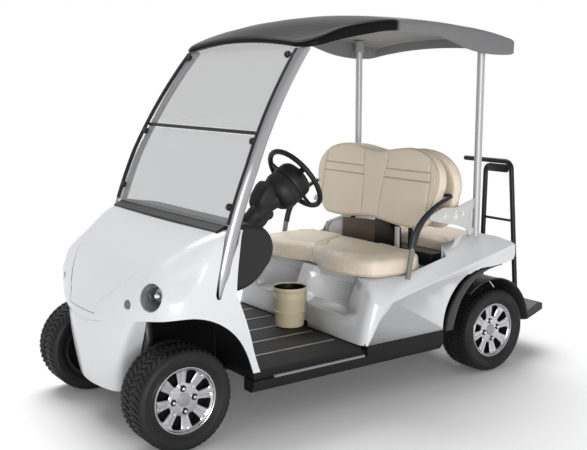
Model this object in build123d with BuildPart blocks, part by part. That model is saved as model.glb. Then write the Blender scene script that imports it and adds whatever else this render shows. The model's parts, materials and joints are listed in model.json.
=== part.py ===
from build123d import *
import math
import os

# Open 2+2 golf cart. Millimetres. +X forward, +Y to the left, +Z up.
# The origin is on the ground under the middle of the cart's length and width.

# ---- driving sizes ----------------------------------------------------------
wheelbase = 1902
front_overhang = 234          # front axle to the tip of the nose
rear_overhang = 609           # rear axle to the back edge of the step
body_half_width = 590
tyre_od = 459                 # 205/50-10
tyre_width = 204
rim_r = 150
arm_gap = 0.3                 # running clearance at pins and sliding faces
skin = 6                      # moulded body panel
seat_gap = 0.3                # between a seated piece and its seat

front_x = (wheelbase + rear_overhang - front_overhang) / 2
rear_x = front_x - wheelbase
tyre_r = tyre_od / 2
tyre_half = tyre_width / 2
wheel_y = body_half_width - tyre_half
axle_z = tyre_r
sill_out = body_half_width - 8
sill_in = sill_out - 82

floor_z = 290                 # top of the floor mat
sill_z = 295                  # lower edge of the white body sides
rail_y = 200                  # chassis rails
rail_w = 50
rail_h = 80
rail_z = 195                  # underside of the rails

os.makedirs("parts", exist_ok=True)


def save(builder, name):
    builder.part.label = name
    export_step(builder.part, f"parts/{name}.step")


# ---- chassis ----------------------------------------------------------------
rail_front = front_x + 59.7
rail_rear = rear_x - 255
rail_len = rail_front - rail_rear
rail_mid = (rail_front + rail_rear) / 2
rail_top = rail_z + rail_h
step_top = 262
step_t = 32
tongue_rear = rear_x - 560
axle_tube_r = 28
arm_bottom = 125
arm_t = 22
arm_half = 46
tower_x = 30
tower_top = 574
cross_w = 60
cross_h = 45
# x of each cross member, half length in y
cross_members = [
    (front_x + 28, 225),
    (front_x - 400, sill_in),
    (rear_x + 440, sill_in),
    (rear_x - 225, 330),
]
with BuildPart() as chassis_frame:
    with Locations((rail_mid, rail_y, rail_z + rail_h / 2), (rail_mid, -rail_y, rail_z + rail_h / 2)):
        Box(rail_len, rail_w, rail_h)
    for x, half in cross_members:
        with Locations((x, 0, rail_top - cross_h / 2)):
            Box(cross_w, 2 * half, cross_h)
    # the rear axle tube passes through the rails
    with BuildSketch(Plane.XZ):
        with Locations((rear_x, axle_z)):
            Circle(axle_tube_r + arm_gap)
    extrude(amount=body_half_width, both=True, mode=Mode.SUBTRACT)
    # tongues that carry the rear step
    tongue_h = step_top - step_t - rail_z
    for y in (rail_y, -rail_y):
        with Locations(((rail_rear + tongue_rear) / 2 + 10, y, rail_z + tongue_h / 2)):
            Box(rail_rear - tongue_rear + 20, rail_w, tongue_h)
    for y in (rail_y, -rail_y):
        side = 1 if y > 0 else -1
        # brackets that carry the lower arms, and the shock absorber towers
        for x in (arm_half, -arm_half):
            with Locations((front_x + x, y + side * (rail_w / 2 - 8), (arm_bottom + rail_z) / 2)):
                Box(24, 16, rail_z - arm_bottom)
        with Locations((front_x + tower_x, y, (rail_top + tower_top) / 2)):
            Box(44, 30, tower_top - rail_top)
        with Locations((front_x + tower_x, y + side * 45, tower_top - 6)):
            Box(44, 90, 12)
save(chassis_frame, "chassis_frame")

# ---- floor ------------------------------------------------------------------
arch_x = front_x + 12
arch_z = 238
arch_r = 352
panel_t = 6
house_r = arch_r + 6          # inner face of the wheelhouse panel
floor_front = arch_x - math.sqrt((house_r + panel_t) ** 2 - (floor_z - arch_z) ** 2) - 3
floor_rear = rear_x + 926
floor_half = body_half_width - 24
mat_t = floor_z - rail_top
strip_pitch = 190
strip_count = 5
strip_w = 9
strip_h = 3
with BuildPart() as floor_mat:
    with Locations(((floor_front + floor_rear) / 2, 0, rail_top + mat_t / 2)):
        Box(floor_front - floor_rear, 2 * floor_half, mat_t)
save(floor_mat, "floor_mat")

strip_front = floor_front - 40
strip_rear = floor_rear + 22
with BuildPart() as floor_strips:
    with Locations(((strip_front + strip_rear) / 2, 0, floor_z + strip_h / 2)):
        with GridLocations(1, strip_pitch, 1, strip_count):
            Box(strip_front - strip_rear, strip_w, strip_h)
save(floor_strips, "floor_strips")

# black sills: low along the doorway, higher under the pod
sill_front = front_x - 340
sill_rear = rear_x + 385
sill_step = rear_x + 900
sill_face = sill_in + arm_gap
sill_bottom = 190
door_sill_z = 246
with BuildPart() as side_sills:
    with BuildSketch(Plane.YZ.offset(sill_rear)):
        Polygon(
            (sill_face, sill_bottom), (sill_out - 22, sill_bottom), (sill_out, sill_bottom + 32),
            (sill_out, door_sill_z), (sill_face, door_sill_z), align=None,
        )
    extrude(amount=sill_front - sill_rear)
    with Locations(((sill_rear + sill_step) / 2, (sill_face + sill_out) / 2, (door_sill_z + sill_z) / 2 - 1)):
        Box(sill_step - sill_rear, sill_out - sill_face, sill_z - door_sill_z - 2)
    # ledge that carries the mat's edge
    with Locations(((sill_step + floor_front) / 2, (sill_face + floor_half) / 2, (door_sill_z + rail_top) / 2)):
        Box(floor_front - sill_step, floor_half - sill_face, rail_top - door_sill_z)
    mirror(about=Plane.XZ)
save(side_sills, "side_sills")

trim_front = front_x - 455
trim_rear = rear_x + 915
trim_h = 10
with BuildPart() as sill_trims:
    with Locations(((trim_front + trim_rear) / 2, (floor_half + sill_out) / 2 + 1, door_sill_z + trim_h / 2)):
        Box(trim_front - trim_rear, sill_out - floor_half - 2, trim_h)
    mirror(about=Plane.XZ)
save(sill_trims, "sill_trims")

# ---- front body -------------------------------------------------------------
# horizontal sections: height, nose ahead of the front axle, nose radius, tuck of the sides, corner radius
front_sections = [
    (285, 230, 1000, 0, 120),
    (540, 230, 1000, 0, 120),
    (600, 216, 1250, 0, 135),
    (680, 172, 2200, 2, 160),
    (765, 97, 5000, 4, 180),
    (850, -26, 12000, 8, 150),
    (940, -215, 20000, 14, 80),
]
# the beak below the bumper crease: height, nose ahead of the axle, half width
beak_sections = [
    (560, 229, 345),
    (500, 234, 325),
    (400, 228, 285),
    (300, 213, 250),
    (195, 191, 215),
]
beak_r = 600
beak_corner = 45
body_back = -400              # how far the sections reach behind the axle
body_wide = 2 * body_half_width + 40   # spans the whole width, for cuts


def nose_face(z, nose, radius, half, corner, inset):
    """Plan section with a curved nose and rounded corners, drawn in by inset."""
    x0 = front_x + nose - inset
    w = half - inset
    drop = radius - math.sqrt(radius**2 - w**2)
    with BuildSketch(Plane.XY.offset(z)) as face:
        with BuildLine():
            ThreePointArc((x0 - drop, -w), (x0, 0), (x0 - drop, w))
            Polyline((x0 - drop, w), (front_x + body_back, w), (front_x + body_back, -w), (x0 - drop, -w))
        make_face()
        fillet(face.vertices().group_by(Axis.X)[-1], corner - inset)
    return face.sketch


def upper_form(inset):
    """The outer form of the nose and fenders, drawn in by inset."""
    with BuildPart() as form:
        for i, (z, nose, radius, tuck, corner) in enumerate(front_sections):
            half = body_half_width - tuck
            add(nose_face(z - (inset if i else 0), nose, radius, half, corner, inset))
        loft()
    return form.part


def beak_form(inset):
    """The narrower beak under the bumper crease, drawn in by inset."""
    with BuildPart() as form:
        for z, nose, half in reversed(beak_sections):
            add(nose_face(z, nose, beak_r, half, beak_corner, inset))
        loft()
    return form.part


# rear edge of the front body: ahead of the front axle, height
rear_edge = [(-296, 945), (-262, 770), (-253, 660), (-317, 484), (-372, 290)]
with BuildPart() as keep_side:
    # seen from the side: what lies ahead of the rear edge and above the sill
    with BuildSketch(Plane.XZ):
        with BuildLine():
            a = [(front_x + x, z) for x, z in rear_edge]
            ThreePointArc(a[0], a[1], a[2])
            ThreePointArc(a[2], a[3], a[4])
            Polyline(a[4], (front_x - body_back, a[4][1]), (front_x - body_back, a[0][1]), a[0])
        make_face()
    extrude(amount=body_wide / 2, both=True)
with BuildPart() as keep_beak:
    # the beak's sides stop a little way back from the nose
    with Locations((front_x + 260, 0, 400)):
        Box(400, 900, 800)
with BuildPart() as arch_cut:
    with BuildSketch(Plane.XZ):
        with Locations((arch_x, arch_z)):
            Circle(arch_r)
    extrude(amount=body_wide / 2, both=True)

with BuildPart() as ledge_ring:
    # the ledge under the nose follows the wheel arch
    with BuildSketch(Plane.XZ):
        with Locations((arch_x, arch_z)):
            Circle(arch_r + skin)
            Circle(arch_r, mode=Mode.SUBTRACT)
    extrude(amount=360, both=True)
    with Locations((arch_x - 390, 0, arch_z)):
        Box(1000, 800, 900, mode=Mode.SUBTRACT)

upper_outer = upper_form(0)
upper_shell = (upper_outer - upper_form(skin)) & keep_side.part
upper_shell = upper_shell - arch_cut.part
beak_inner = beak_form(skin)
with BuildPart() as beak:
    add(beak_form(0))
    add(keep_beak.part, mode=Mode.INTERSECT)
    add(arch_cut.part, mode=Mode.INTERSECT)
    add(beak_inner, mode=Mode.SUBTRACT)
with BuildPart() as ledge:
    add(upper_outer)
    add(ledge_ring.part, mode=Mode.INTERSECT)
    add(beak_inner, mode=Mode.SUBTRACT)
front_shell = upper_shell + ledge.part + beak.part

# hood outline in plan: ahead of the axle, half width
hood_outline = [(-205, 505), (-82, 490), (-13, 434), (43, 382), (88, 337), (126, 293), (157, 246), (185, 194), (205, 150)]
hood_gap = 3
cowl_x = -190
hood_low = 556


def hood_prism(grow):
    """Vertical prism around the hood, grown by a panel gap."""
    pts = [(front_x + x + grow * 0.7, y + grow) for x, y in hood_outline]
    with BuildPart() as prism:
        with BuildSketch(Plane.XY.offset(hood_low - grow)):
            with BuildLine():
                right = [(x, -y) for x, y in reversed(pts)]
                Spline(*pts)
                Line(right[-1], pts[0])
                Spline(*right)
                RadiusArc(pts[-1], right[0], 190)
            make_face()
        extrude(amount=450)
    return prism.part


with BuildPart() as cowl_cut:
    with Locations((front_x + cowl_x - 150, 0, 940)):
        Box(300, 1060, 200)
hood_box = hood_prism(0) - cowl_cut.part
hood_hole = hood_prism(hood_gap)
hood_shell = front_shell & hood_box
with BuildPart() as hood:
    add(hood_shell.solids().sort_by(SortBy.VOLUME)[-1])
save(hood, "hood")

# ---- A-pillars --------------------------------------------------------------
pillar_deep = 70
pillar_wide = 40
pillar_gap = 1                # to the panels that the pillar passes
pillar_foot = Vector(front_x - 173, body_half_width - 15, 650)
pillar_mid = Vector(front_x - 351, body_half_width - 25, 1200)
pillar_top = Vector(front_x - 670, body_half_width - 90, 1747)
# the foot narrows to a blunt point: behind the front axle, height
foot_trail = [(-167, 640), (-186, 690), (-208, 750), (-234, 815), (-268, 885), (-420, 885), (-420, 640)]
foot_lead = [(-158, 640), (-147, 680), (-138, 730), (-80, 730), (-80, 640)]


def pillar_form(grow, top):
    """Oval extrusion bent along an arc, grown by a clearance."""
    with BuildPart() as form:
        with BuildLine() as path:
            ThreePointArc(pillar_foot, pillar_mid, top)
        with BuildSketch(Plane(pillar_foot, x_dir=(0, 1, 0), z_dir=path.line % 0)):
            Ellipse(pillar_wide / 2 + grow, pillar_deep / 2 + grow)
        sweep()
        if grow:
            with BuildSketch(Plane(pillar_foot, x_dir=(0, 1, 0), z_dir=path.line % 0)):
                Ellipse(pillar_wide / 2 + grow, pillar_deep / 2 + grow)
            extrude(amount=-grow)
        with BuildSketch(Plane.XZ.offset(-pillar_foot.Y)):
            Polygon(*[(front_x + x - grow, z) for x, z in foot_trail], align=None)
            Polygon(*[(front_x + x + grow, z) for x, z in foot_lead], align=None)
        extrude(amount=pillar_wide + 2 * grow, both=True, mode=Mode.SUBTRACT)
    return form.part


pillar_room = pillar_form(pillar_gap, pillar_top)
pillar_seat = pillar_form(seat_gap, pillar_top)

# ---- lamps in the nose ------------------------------------------------------
lamp_at = (front_x + 103, body_half_width - 108, 676)
lamp_r = 60
lamp_deep = 78
lamp_toe = 24
indicator_at = (front_x + 154, body_half_width - 232, 629)
indicator_r = 22


def facing(at, toe):
    """Plane whose normal points forward, turned outwards by toe degrees."""
    turn = math.radians(toe)
    return Plane(at, x_dir=(-math.sin(turn), math.cos(turn), 0), z_dir=(math.cos(turn), math.sin(turn), 0))


with BuildPart() as lamp_holes:
    with BuildSketch(facing(lamp_at, lamp_toe)):
        Circle(lamp_r)
    extrude(amount=70, both=True)
    with BuildSketch(facing(indicator_at, lamp_toe)):
        Circle(indicator_r)
    extrude(amount=50, both=True)
    mirror(about=Plane.XZ)

with BuildPart() as front_body:
    add((front_shell - hood_hole) - cowl_cut.part)
    add(pillar_room, mode=Mode.SUBTRACT)
    add(pillar_room.mirror(Plane.XZ), mode=Mode.SUBTRACT)
    add(lamp_holes.part, mode=Mode.SUBTRACT)
save(front_body, "front_body")

# open cup with a lamp at the back of it
cup_t = 3
with BuildPart() as cups:
    with BuildSketch(facing(lamp_at, lamp_toe).offset(-lamp_deep)):
        Circle(lamp_r - seat_gap)
    extrude(amount=lamp_deep + 60)
    with BuildSketch(facing(lamp_at, lamp_toe).offset(-lamp_deep + cup_t)):
        Circle(lamp_r - seat_gap - cup_t)
    extrude(amount=lamp_deep + 60, mode=Mode.SUBTRACT)
cup = cups.part & upper_form(skin / 2)
with BuildPart() as headlamp_cups:
    add(cup)
    mirror(about=Plane.XZ)
save(headlamp_cups, "headlamp_cups")

lens_r = 46
with BuildPart() as headlamps:
    with BuildSketch(facing(lamp_at, lamp_toe).offset(-lamp_deep + cup_t)):
        Circle(lens_r)
    extrude(amount=26)
    fillet(headlamps.edges().filter_by(GeomType.CIRCLE).sort_by(Axis.X)[-1], 12)
    mirror(about=Plane.XZ)
save(headlamps, "headlamps")

with BuildPart() as indicators:
    with BuildSketch(facing(indicator_at, lamp_toe).offset(-22)):
        Circle(indicator_r - seat_gap)
    extrude(amount=24)
    fillet(indicators.edges().filter_by(GeomType.CIRCLE).sort_by(Axis.X)[-1], 5)
    mirror(about=Plane.XZ)
save(indicators, "indicators")

# ---- cowl, dashboard and the wall behind the front wheels -------------------
wall_x = front_x - 261
wall_half = body_half_width - 30
wall_low = 485
wall_top = 915
house_half = body_half_width - skin - seat_gap
with BuildPart() as wheelhouse_panel:
    with BuildSketch(Plane.XZ):
        with Locations((arch_x, arch_z)):
            Circle(house_r + panel_t)
            Circle(house_r, mode=Mode.SUBTRACT)
        with Locations((arch_x, arch_z - 300 + 37)):
            Rectangle(900, 600, mode=Mode.SUBTRACT)
        with Locations((arch_x + 400 + 80, arch_z + 200)):
            Rectangle(800, 700, mode=Mode.SUBTRACT)
    extrude(amount=house_half, both=True)
    with Locations((wall_x + panel_t / 2, 0, (wall_low + wall_top) / 2)):
        Box(panel_t, 2 * wall_half, wall_top - wall_low)
    with BuildSketch(Plane.XZ):
        with Locations((arch_x, arch_z)):
            Circle(house_r)
    extrude(amount=house_half, both=True, mode=Mode.SUBTRACT)
wheelhouse = (wheelhouse_panel.part & upper_form(skin + seat_gap)) - pillar_room - pillar_room.mirror(Plane.XZ)

cowl_half = body_half_width - 64
cowl_low = wall_top + 1
with BuildPart() as cowl_panel:
    # shallow gutter across the foot of the windshield
    with BuildSketch(Plane.XZ):
        Polygon(
            (front_x + cowl_x - seat_gap, cowl_low), (front_x + cowl_x - seat_gap, cowl_low + 22),
            (front_x - 236, cowl_low + 42), (wall_x, cowl_low + 42), (wall_x, cowl_low), align=None,
        )
    extrude(amount=cowl_half, both=True)
save(cowl_panel, "cowl_panel")

dash_half = body_half_width - 63
dash_low = 655
with BuildPart() as dashboard:
    with BuildSketch(Plane.XZ):
        with BuildLine():
            Line((wall_x, 964), (front_x - 425, 938))
            ThreePointArc((front_x - 425, 938), (front_x - 494, 850), (front_x - 455, 745))
            ThreePointArc((front_x - 455, 745), (front_x - 400, 690), (front_x - 310, dash_low))
            Polyline((front_x - 310, dash_low), (wall_x, dash_low), (wall_x, 964))
        make_face()
    extrude(amount=dash_half, both=True)
    fillet(dashboard.edges().filter_by_position(Axis.X, front_x - 500, front_x - 320).group_by(Axis.Y)[0], 25)
    fillet(dashboard.edges().filter_by_position(Axis.X, front_x - 500, front_x - 320).group_by(Axis.Y)[-1], 25)
    add(pillar_room, mode=Mode.SUBTRACT)
    add(pillar_room.mirror(Plane.XZ), mode=Mode.SUBTRACT)
save(dashboard, "dashboard")

# ---- windshield -------------------------------------------------------------
bar_at = (front_x - 413, 1350)
bar_r = 9
glass_t = 5
glass_foot = (front_x - 229, 958.5)
glass_head = (front_x - 664, 1745)


def pane(low, high, half_low, half_high):
    """Flat pane between two heights on the side view, cut by the pillars."""
    slope = Vector(high[0] - low[0], 0, high[1] - low[1])
    rise = slope.length
    plane = Plane((low[0], 0, low[1]), x_dir=(0, 1, 0), z_dir=Vector(0, 1, 0).cross(slope))
    with BuildPart() as form:
        with BuildSketch(plane):
            # the second axis of this plane may point down the pane
            top = rise if plane.y_dir.Z > 0 else -rise
            Polygon((-half_high, top), (-half_low, 0), (half_low, 0), (half_high, top), align=None)
        extrude(amount=glass_t / 2, both=True)
    return form.part - pillar_seat - pillar_seat.mirror(Plane.XZ)


def off_bar(end):
    """Where a pane that runs towards end starts, seated on the bar."""
    reach = math.hypot(end[0] - bar_at[0], end[1] - bar_at[1])
    share = (bar_r + seat_gap) / reach
    return (bar_at[0] + (end[0] - bar_at[0]) * share, bar_at[1] + (end[1] - bar_at[1]) * share)


with BuildPart() as windshield:
    add(pane(glass_foot, off_bar(glass_foot), pillar_foot.Y, pillar_mid.Y + 2))
    add(pane(off_bar(glass_head), glass_head, pillar_mid.Y + 2, pillar_top.Y))
save(windshield, "windshield")
with BuildPart() as windshield_bar:
    with BuildSketch(Plane.XZ):
        with Locations(bar_at):
            Circle(bar_r)
    extrude(amount=pillar_mid.Y, both=True)
    add(pillar_seat, mode=Mode.SUBTRACT)
    add(pillar_seat.mirror(Plane.XZ), mode=Mode.SUBTRACT)
save(windshield_bar, "windshield_bar")

# ---- roof -------------------------------------------------------------------
roof_front = front_x - 632
roof_rear = rear_x - 112
roof_half = 578
roof_edge_h = 50
roof_crown = 95
roof_t = 12
roof_lip = 100                # flat underside all round
# the roof bends round a long arc seen from the side
roof_front_z = 1750
roof_mid = (roof_front - 470, 1812)
roof_rear_z = 1711


def circle_through(a, b, c):
    """Centre and radius of the circle through three points of the side view."""
    d = 2 * (a[0] * (b[1] - c[1]) + b[0] * (c[1] - a[1]) + c[0] * (a[1] - b[1]))
    squares = [p[0] ** 2 + p[1] ** 2 for p in (a, b, c)]
    x = (squares[0] * (b[1] - c[1]) + squares[1] * (c[1] - a[1]) + squares[2] * (a[1] - b[1])) / d
    z = (squares[0] * (c[0] - b[0]) + squares[1] * (a[0] - c[0]) + squares[2] * (b[0] - a[0])) / d
    return x, z, math.hypot(a[0] - x, a[1] - z)


roof_cx, roof_cz, roof_bend = circle_through((roof_front, roof_front_z), roof_mid, (roof_rear, roof_rear_z))


def roof_barrel(half, low, edge, crown, lip):
    """Crowned section turned about the centre of the side arc; heights count from that arc."""
    base = roof_cz - roof_bend
    with BuildPart() as barrel:
        with BuildSketch(Plane.YZ.offset(roof_cx)):
            with BuildLine():
                turn = lip * 0.29
                ThreePointArc((lip - half, base - edge), (turn - half, base - edge + turn), (-half, base - edge + lip))
                Polyline((-half, base - edge + lip), (-half, base - low), (half, base - low), (half, base - edge + lip))
                ThreePointArc((half, base - edge + lip), (half - turn, base - edge + turn), (half - lip, base - edge))
                ThreePointArc((half - lip, base - edge), (0, base - crown), (lip - half, base - edge))
            make_face()
        revolve(axis=Axis((roof_cx, 0, roof_cz), (0, 1, 0)), revolution_arc=360)
    return barrel.part


roof_outer = roof_barrel(roof_half, 0, roof_edge_h, roof_crown, 26)
roof_inner = roof_barrel(roof_half - roof_lip, -60, roof_edge_h - roof_t, roof_crown - roof_t, 6)


def roof_plan(inset, corner):
    with BuildPart() as form:
        with BuildSketch(Plane.XY.offset(1600)):
            with Locations(((roof_front + roof_rear) / 2, 0)):
                RectangleRounded(roof_front - roof_rear - 2 * inset, 2 * (roof_half + 10 - inset), corner)
        extrude(amount=500)
    return form.part


roof_solid = roof_outer & roof_plan(0, 110)
with BuildPart() as roof:
    add(roof_solid - (roof_inner & roof_plan(roof_lip, 60)))
save(roof, "roof")

with BuildPart() as front_pillars:
    add(pillar_form(0, pillar_top + Vector(-20, -3, 35)) - roof_solid)
    mirror(about=Plane.XZ)
save(front_pillars, "front_pillars")

# ---- seat pod ---------------------------------------------------------------
# side view of the pod: ahead of the rear axle, height
pod_front = [(921, 295), (889, 440), (822, 612)]     # the front face curves from the floor to the seat
pod_profile = [
    (822, 612), (491, 700), (127, 770), (81, 768), (-33, 745), (-115, 712), (-183, 657), (-199, 612),
    (-239, 410), (-262, 295), (921, 295),
]
pod_corner = 62
# flank below the crease, set in a little
flank_profile = [(900, 285), (842, 397), (734, 496), (566, 534), (427, 552), (283, 571), (200, 571), (200, 285)]
flank_deep = 12
ridge_front = Vector(rear_x + 822, body_half_width, 487)
ridge_rear = Vector(rear_x + 127, body_half_width, 640)
ridge_in = Vector(rear_x + 127, body_half_width - 90, 765)
seat_half = body_half_width - 55
rear_seat_half = body_half_width - 95
seat_z = 600
rear_seat_z = 630
seat_split = rear_x + 331
# room over each seat: height of the seat, half width, front and rear
seat_rooms = [
    (seat_z, seat_half, rear_x + 1100, seat_split),
    (rear_seat_z, rear_seat_half, seat_split + 5, rear_x - 600),
]
room_h = 400
scoop_at = (rear_x + 891, 230, 520)
scoop_r = 110
scoop_len = 360
bin_at = (rear_x + 976, 30)
bin_room = 100
bin_room_top = 550


def pod_form(inset):
    """The pod's outer form with its hollows, drawn in by inset."""
    away = (ridge_rear - ridge_front).cross(ridge_in - ridge_front).normalized()
    if away.Z < 0:
        away = away * -1
    with BuildPart() as form:
        with BuildSketch(Plane.XZ):
            with BuildLine():
                ThreePointArc(*[(rear_x + x, z) for x, z in pod_front])
                Polyline(*[(rear_x + x, z) for x, z in pod_profile])
            make_face()
            if inset:
                offset(amount=-inset, kind=Kind.INTERSECTION, mode=Mode.REPLACE)
        extrude(amount=body_half_width - inset, both=True)
        front_edges = form.edges().filter_by_position(Axis.X, rear_x + 815, rear_x + 930)
        fillet(front_edges.filter_by(Axis.Y, reverse=True).filter_by(GeomType.CIRCLE), pod_corner - inset)
        for side in (1, -1):
            at = ridge_front - away * inset
            slope = Plane((at.X, side * at.Y, at.Z), x_dir=(0, 1, 0), z_dir=(away.X, side * away.Y, away.Z))
            with Locations(slope):
                Box(4000, 4000, 400, align=(Align.CENTER, Align.CENTER, Align.MIN), mode=Mode.SUBTRACT)
            with BuildSketch(Plane.XZ.offset(-side * (body_half_width - flank_deep - inset))):
                Polygon(*[(rear_x + x, z) for x, z in flank_profile], align=None)
                if inset:
                    offset(amount=inset, kind=Kind.INTERSECTION, mode=Mode.REPLACE)
            extrude(amount=-side * 60, mode=Mode.SUBTRACT)
            with Locations(Pos(scoop_at[0], side * scoop_at[1], scoop_at[2]) * Rot(90, 0, 0)):
                Cylinder(scoop_r + inset, scoop_len + 2 * inset, mode=Mode.SUBTRACT)
        for low, half, x1, x0 in seat_rooms:
            with Locations(((x0 + x1) / 2, 0, low - inset)):
                room = (Align.CENTER, Align.CENTER, Align.MIN)
                Box(x1 - x0, 2 * (half + inset), room_h, align=room, mode=Mode.SUBTRACT)
        with Locations((bin_at[0], bin_at[1], (floor_z + bin_room_top) / 2)):
            Cylinder(bin_room + inset, bin_room_top - floor_z + 80, mode=Mode.SUBTRACT)
    return form.part


# wheel openings: front part round circle a, rear part round circle c, seal up to circle b
arch_a = (rear_x + 91, 300, 295)
arch_b = (rear_x + 21, 240, 322)
arch_c = (rear_x + 16, 235, 285)
tub_wall = wheel_y - tyre_half - 20
with BuildPart() as rear_arch:
    with BuildSketch(Plane.XZ.offset(-tub_wall)):
        for x, z, r in (arch_a, arch_c):
            with Locations((x, z)):
                Circle(r)
    extrude(amount=-body_half_width)
    mirror(about=Plane.XZ)
with BuildPart() as pod_bottom:
    # the pod is open below, but for its rims at front and rear
    with Locations((rear_x + 330, 0, sill_z)):
        Box(1156, 2 * (body_half_width - 19), 2 * skin + 4)
pod_inner = pod_form(skin)
pod_outer = pod_form(0)
with BuildPart() as seat_pod:
    add(pod_outer)
    add(pod_inner, mode=Mode.SUBTRACT)
    add(pod_bottom.part, mode=Mode.SUBTRACT)
    add(rear_arch.part, mode=Mode.SUBTRACT)
save(seat_pod, "seat_pod")

trim_in = body_half_width - 45
trim_out = body_half_width - 4
with BuildPart() as rear_arch_trims:
    with BuildSketch(Plane.XZ.offset(-trim_in)):
        with Locations(arch_a[:2]):
            Circle(arch_a[2] - seat_gap)
        with Locations(arch_b[:2]):
            Circle(arch_b[2], mode=Mode.SUBTRACT)
        with Locations((arch_b[0], 0)):
            Rectangle(1000, 592, mode=Mode.SUBTRACT)
    extrude(amount=-(trim_out - trim_in))
    # skirt behind the wheel
    with BuildSketch(Plane.XZ.offset(-trim_in + 150)):
        with Locations(arch_c[:2]):
            Circle(arch_c[2] - seat_gap)
        with Locations((rear_x, axle_z)):
            Circle(tyre_r + 20, mode=Mode.SUBTRACT)
        with Locations((rear_x + 450, 250)):
            Rectangle(1300, 900, mode=Mode.SUBTRACT)
        with Locations((rear_x, 0)):
            Rectangle(1000, 490, mode=Mode.SUBTRACT)
    extrude(amount=-(trim_out - trim_in + 150))
    mirror(about=Plane.XZ)
save(rear_arch_trims, "rear_arch_trims")

tub_t = 6
tub_low = 300
with BuildPart() as tubs:
    with BuildSketch(Plane.XZ.offset(-tub_wall + tub_t)):
        with Locations(arch_b[:2]):
            Circle(arch_b[2] + tub_t)
    extrude(amount=-(trim_in - tub_wall + tub_t - seat_gap))
    with BuildSketch(Plane.XZ.offset(-tub_wall)):
        with Locations(arch_b[:2]):
            Circle(arch_b[2])
    extrude(amount=-body_half_width, mode=Mode.SUBTRACT)
    split(bisect_by=Plane.XY.offset(tub_low), keep=Keep.TOP)
    mirror(about=Plane.XZ)
with BuildPart() as wheel_liners:
    add(wheelhouse)
    add(tubs.part & pod_form(skin + seat_gap))
save(wheel_liners, "wheel_liners")

# ---- seats ------------------------------------------------------------------
cushion_top = 708
cushion_room = 15             # to the seat's sides
# front edge of the front cushion, one lobe a person: ahead of the rear axle, share of the half width
cushion_lobes = [(735, 1), (838, 0.85), (878, 0.55), (846, 0.2), (815, 0)]
with BuildPart() as front_cushion:
    with BuildSketch(Plane.XY.offset(seat_z + seat_gap)):
        with BuildLine():
            half = seat_half - cushion_room
            lobes = [(rear_x + x, share * half) for x, share in cushion_lobes]
            Spline(*lobes, *[(x, -y) for x, y in reversed(lobes[:-1])])
            Polyline(
                lobes[0], (rear_x + 490, half), (rear_x + 427, half - 75), (rear_x + 427, 75 - half),
                (rear_x + 490, -half), (lobes[0][0], -half),
            )
        make_face()
    extrude(amount=cushion_top - seat_z - seat_gap)
    chamfer(front_cushion.faces().sort_by(Axis.Z)[-1].edges(), 20)
save(front_cushion, "front_cushion")

rear_cushion_top = 734
with BuildPart() as rear_cushion:
    with Locations((rear_x + 31, 0, (rear_seat_z + seat_gap + rear_cushion_top) / 2)):
        Box(394, 2 * (rear_seat_half - cushion_room - 10), rear_cushion_top - rear_seat_z - seat_gap)
    fillet(rear_cushion.edges().filter_by(Axis.Z), 40)
    chamfer(rear_cushion.faces().sort_by(Axis.Z)[-1].edges(), 20)
save(rear_cushion, "rear_cushion")

# half outline of a backrest: half width, height above its foot
back_outline = [
    (0, 26), (150, 4), (400, 0), (455, 60), (488, 150), (530, 262), (478, 372), (277, 446), (140, 433), (0, 415),
]
back_t = 84
rear_back_t = 66


def backrest(foot, lean, thick):
    """Padded back standing on its foot line, leaning back by an angle."""
    tilt = math.radians(lean)
    up = Vector(-math.sin(tilt), 0, math.cos(tilt))
    plane = Plane(foot, x_dir=(0, 1, 0), z_dir=Vector(0, 1, 0).cross(up))
    with BuildPart() as form:
        with BuildSketch(plane):
            with BuildLine():
                near = back_outline[:6]
                far = [(-y, z) for y, z in near]
                Polyline(*reversed(near[1:]), near[0], *far[1:])
                top = back_outline[5:]
                Spline(*top, *[(-y, z) for y, z in reversed(top[:-1])])
            make_face()
        extrude(amount=thick / 2, both=True)
        face = form.faces().sort_by(Axis.X)[0 if lean < 0 else -1]
        chamfer(face.edges(), 16)
    return form.part


with BuildPart() as front_backrest:
    add(backrest((rear_x + 386, 0, 790), 8.4, back_t))
save(front_backrest, "front_backrest")
with BuildPart() as rear_backrest:
    add(backrest((rear_x + 239.8 - rear_back_t / 2, 0, 780), -5, rear_back_t))
save(rear_backrest, "rear_backrest")

# panels and uprights between the two backs
frame_top = 775
frame_half = 450
upright_y = 300
upright_half = 20
with BuildPart() as backrest_frame:
    for x, low in ((rear_x + 352, seat_z), (rear_x + 240, rear_seat_z)):
        with Locations((x, 0, (low + frame_top + seat_gap) / 2)):
            Box(8, 2 * frame_half, frame_top - low - seat_gap)
    with Locations((rear_x + 296, 0, frame_top - 4)):
        Box(120, 2 * frame_half, 8)
    # uprights that both backs rest against
    for y in (upright_y, -upright_y):
        with BuildSketch(Plane.XZ.offset(-y)):
            Polygon(
                (rear_x + 344, 771), (rear_x + 344, 784), (rear_x + 312.1, 1000), (rear_x + 259.6, 1000),
                (rear_x + 240.2, 779), (rear_x + 240.2, 771), align=None,
            )
        extrude(amount=upright_half, both=True)
save(backrest_frame, "backrest_frame")

# ---- posts, brackets and armrests -------------------------------------------
post_x = rear_x + 81
post_y = rear_seat_half + 5
post_r = 20
post_low = 740
post_top = roof_mid[1] - 22   # inside the roof's edge


def posts(radius):
    with BuildPart() as form:
        for y in (post_y, -post_y):
            with Locations((post_x, y, (post_low + post_top) / 2)):
                Cylinder(radius, post_top - post_low)
    return form.part


with BuildPart() as rear_posts:
    add(posts(post_r) - roof_solid - pod_form(-seat_gap))
save(rear_posts, "rear_posts")

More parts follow.
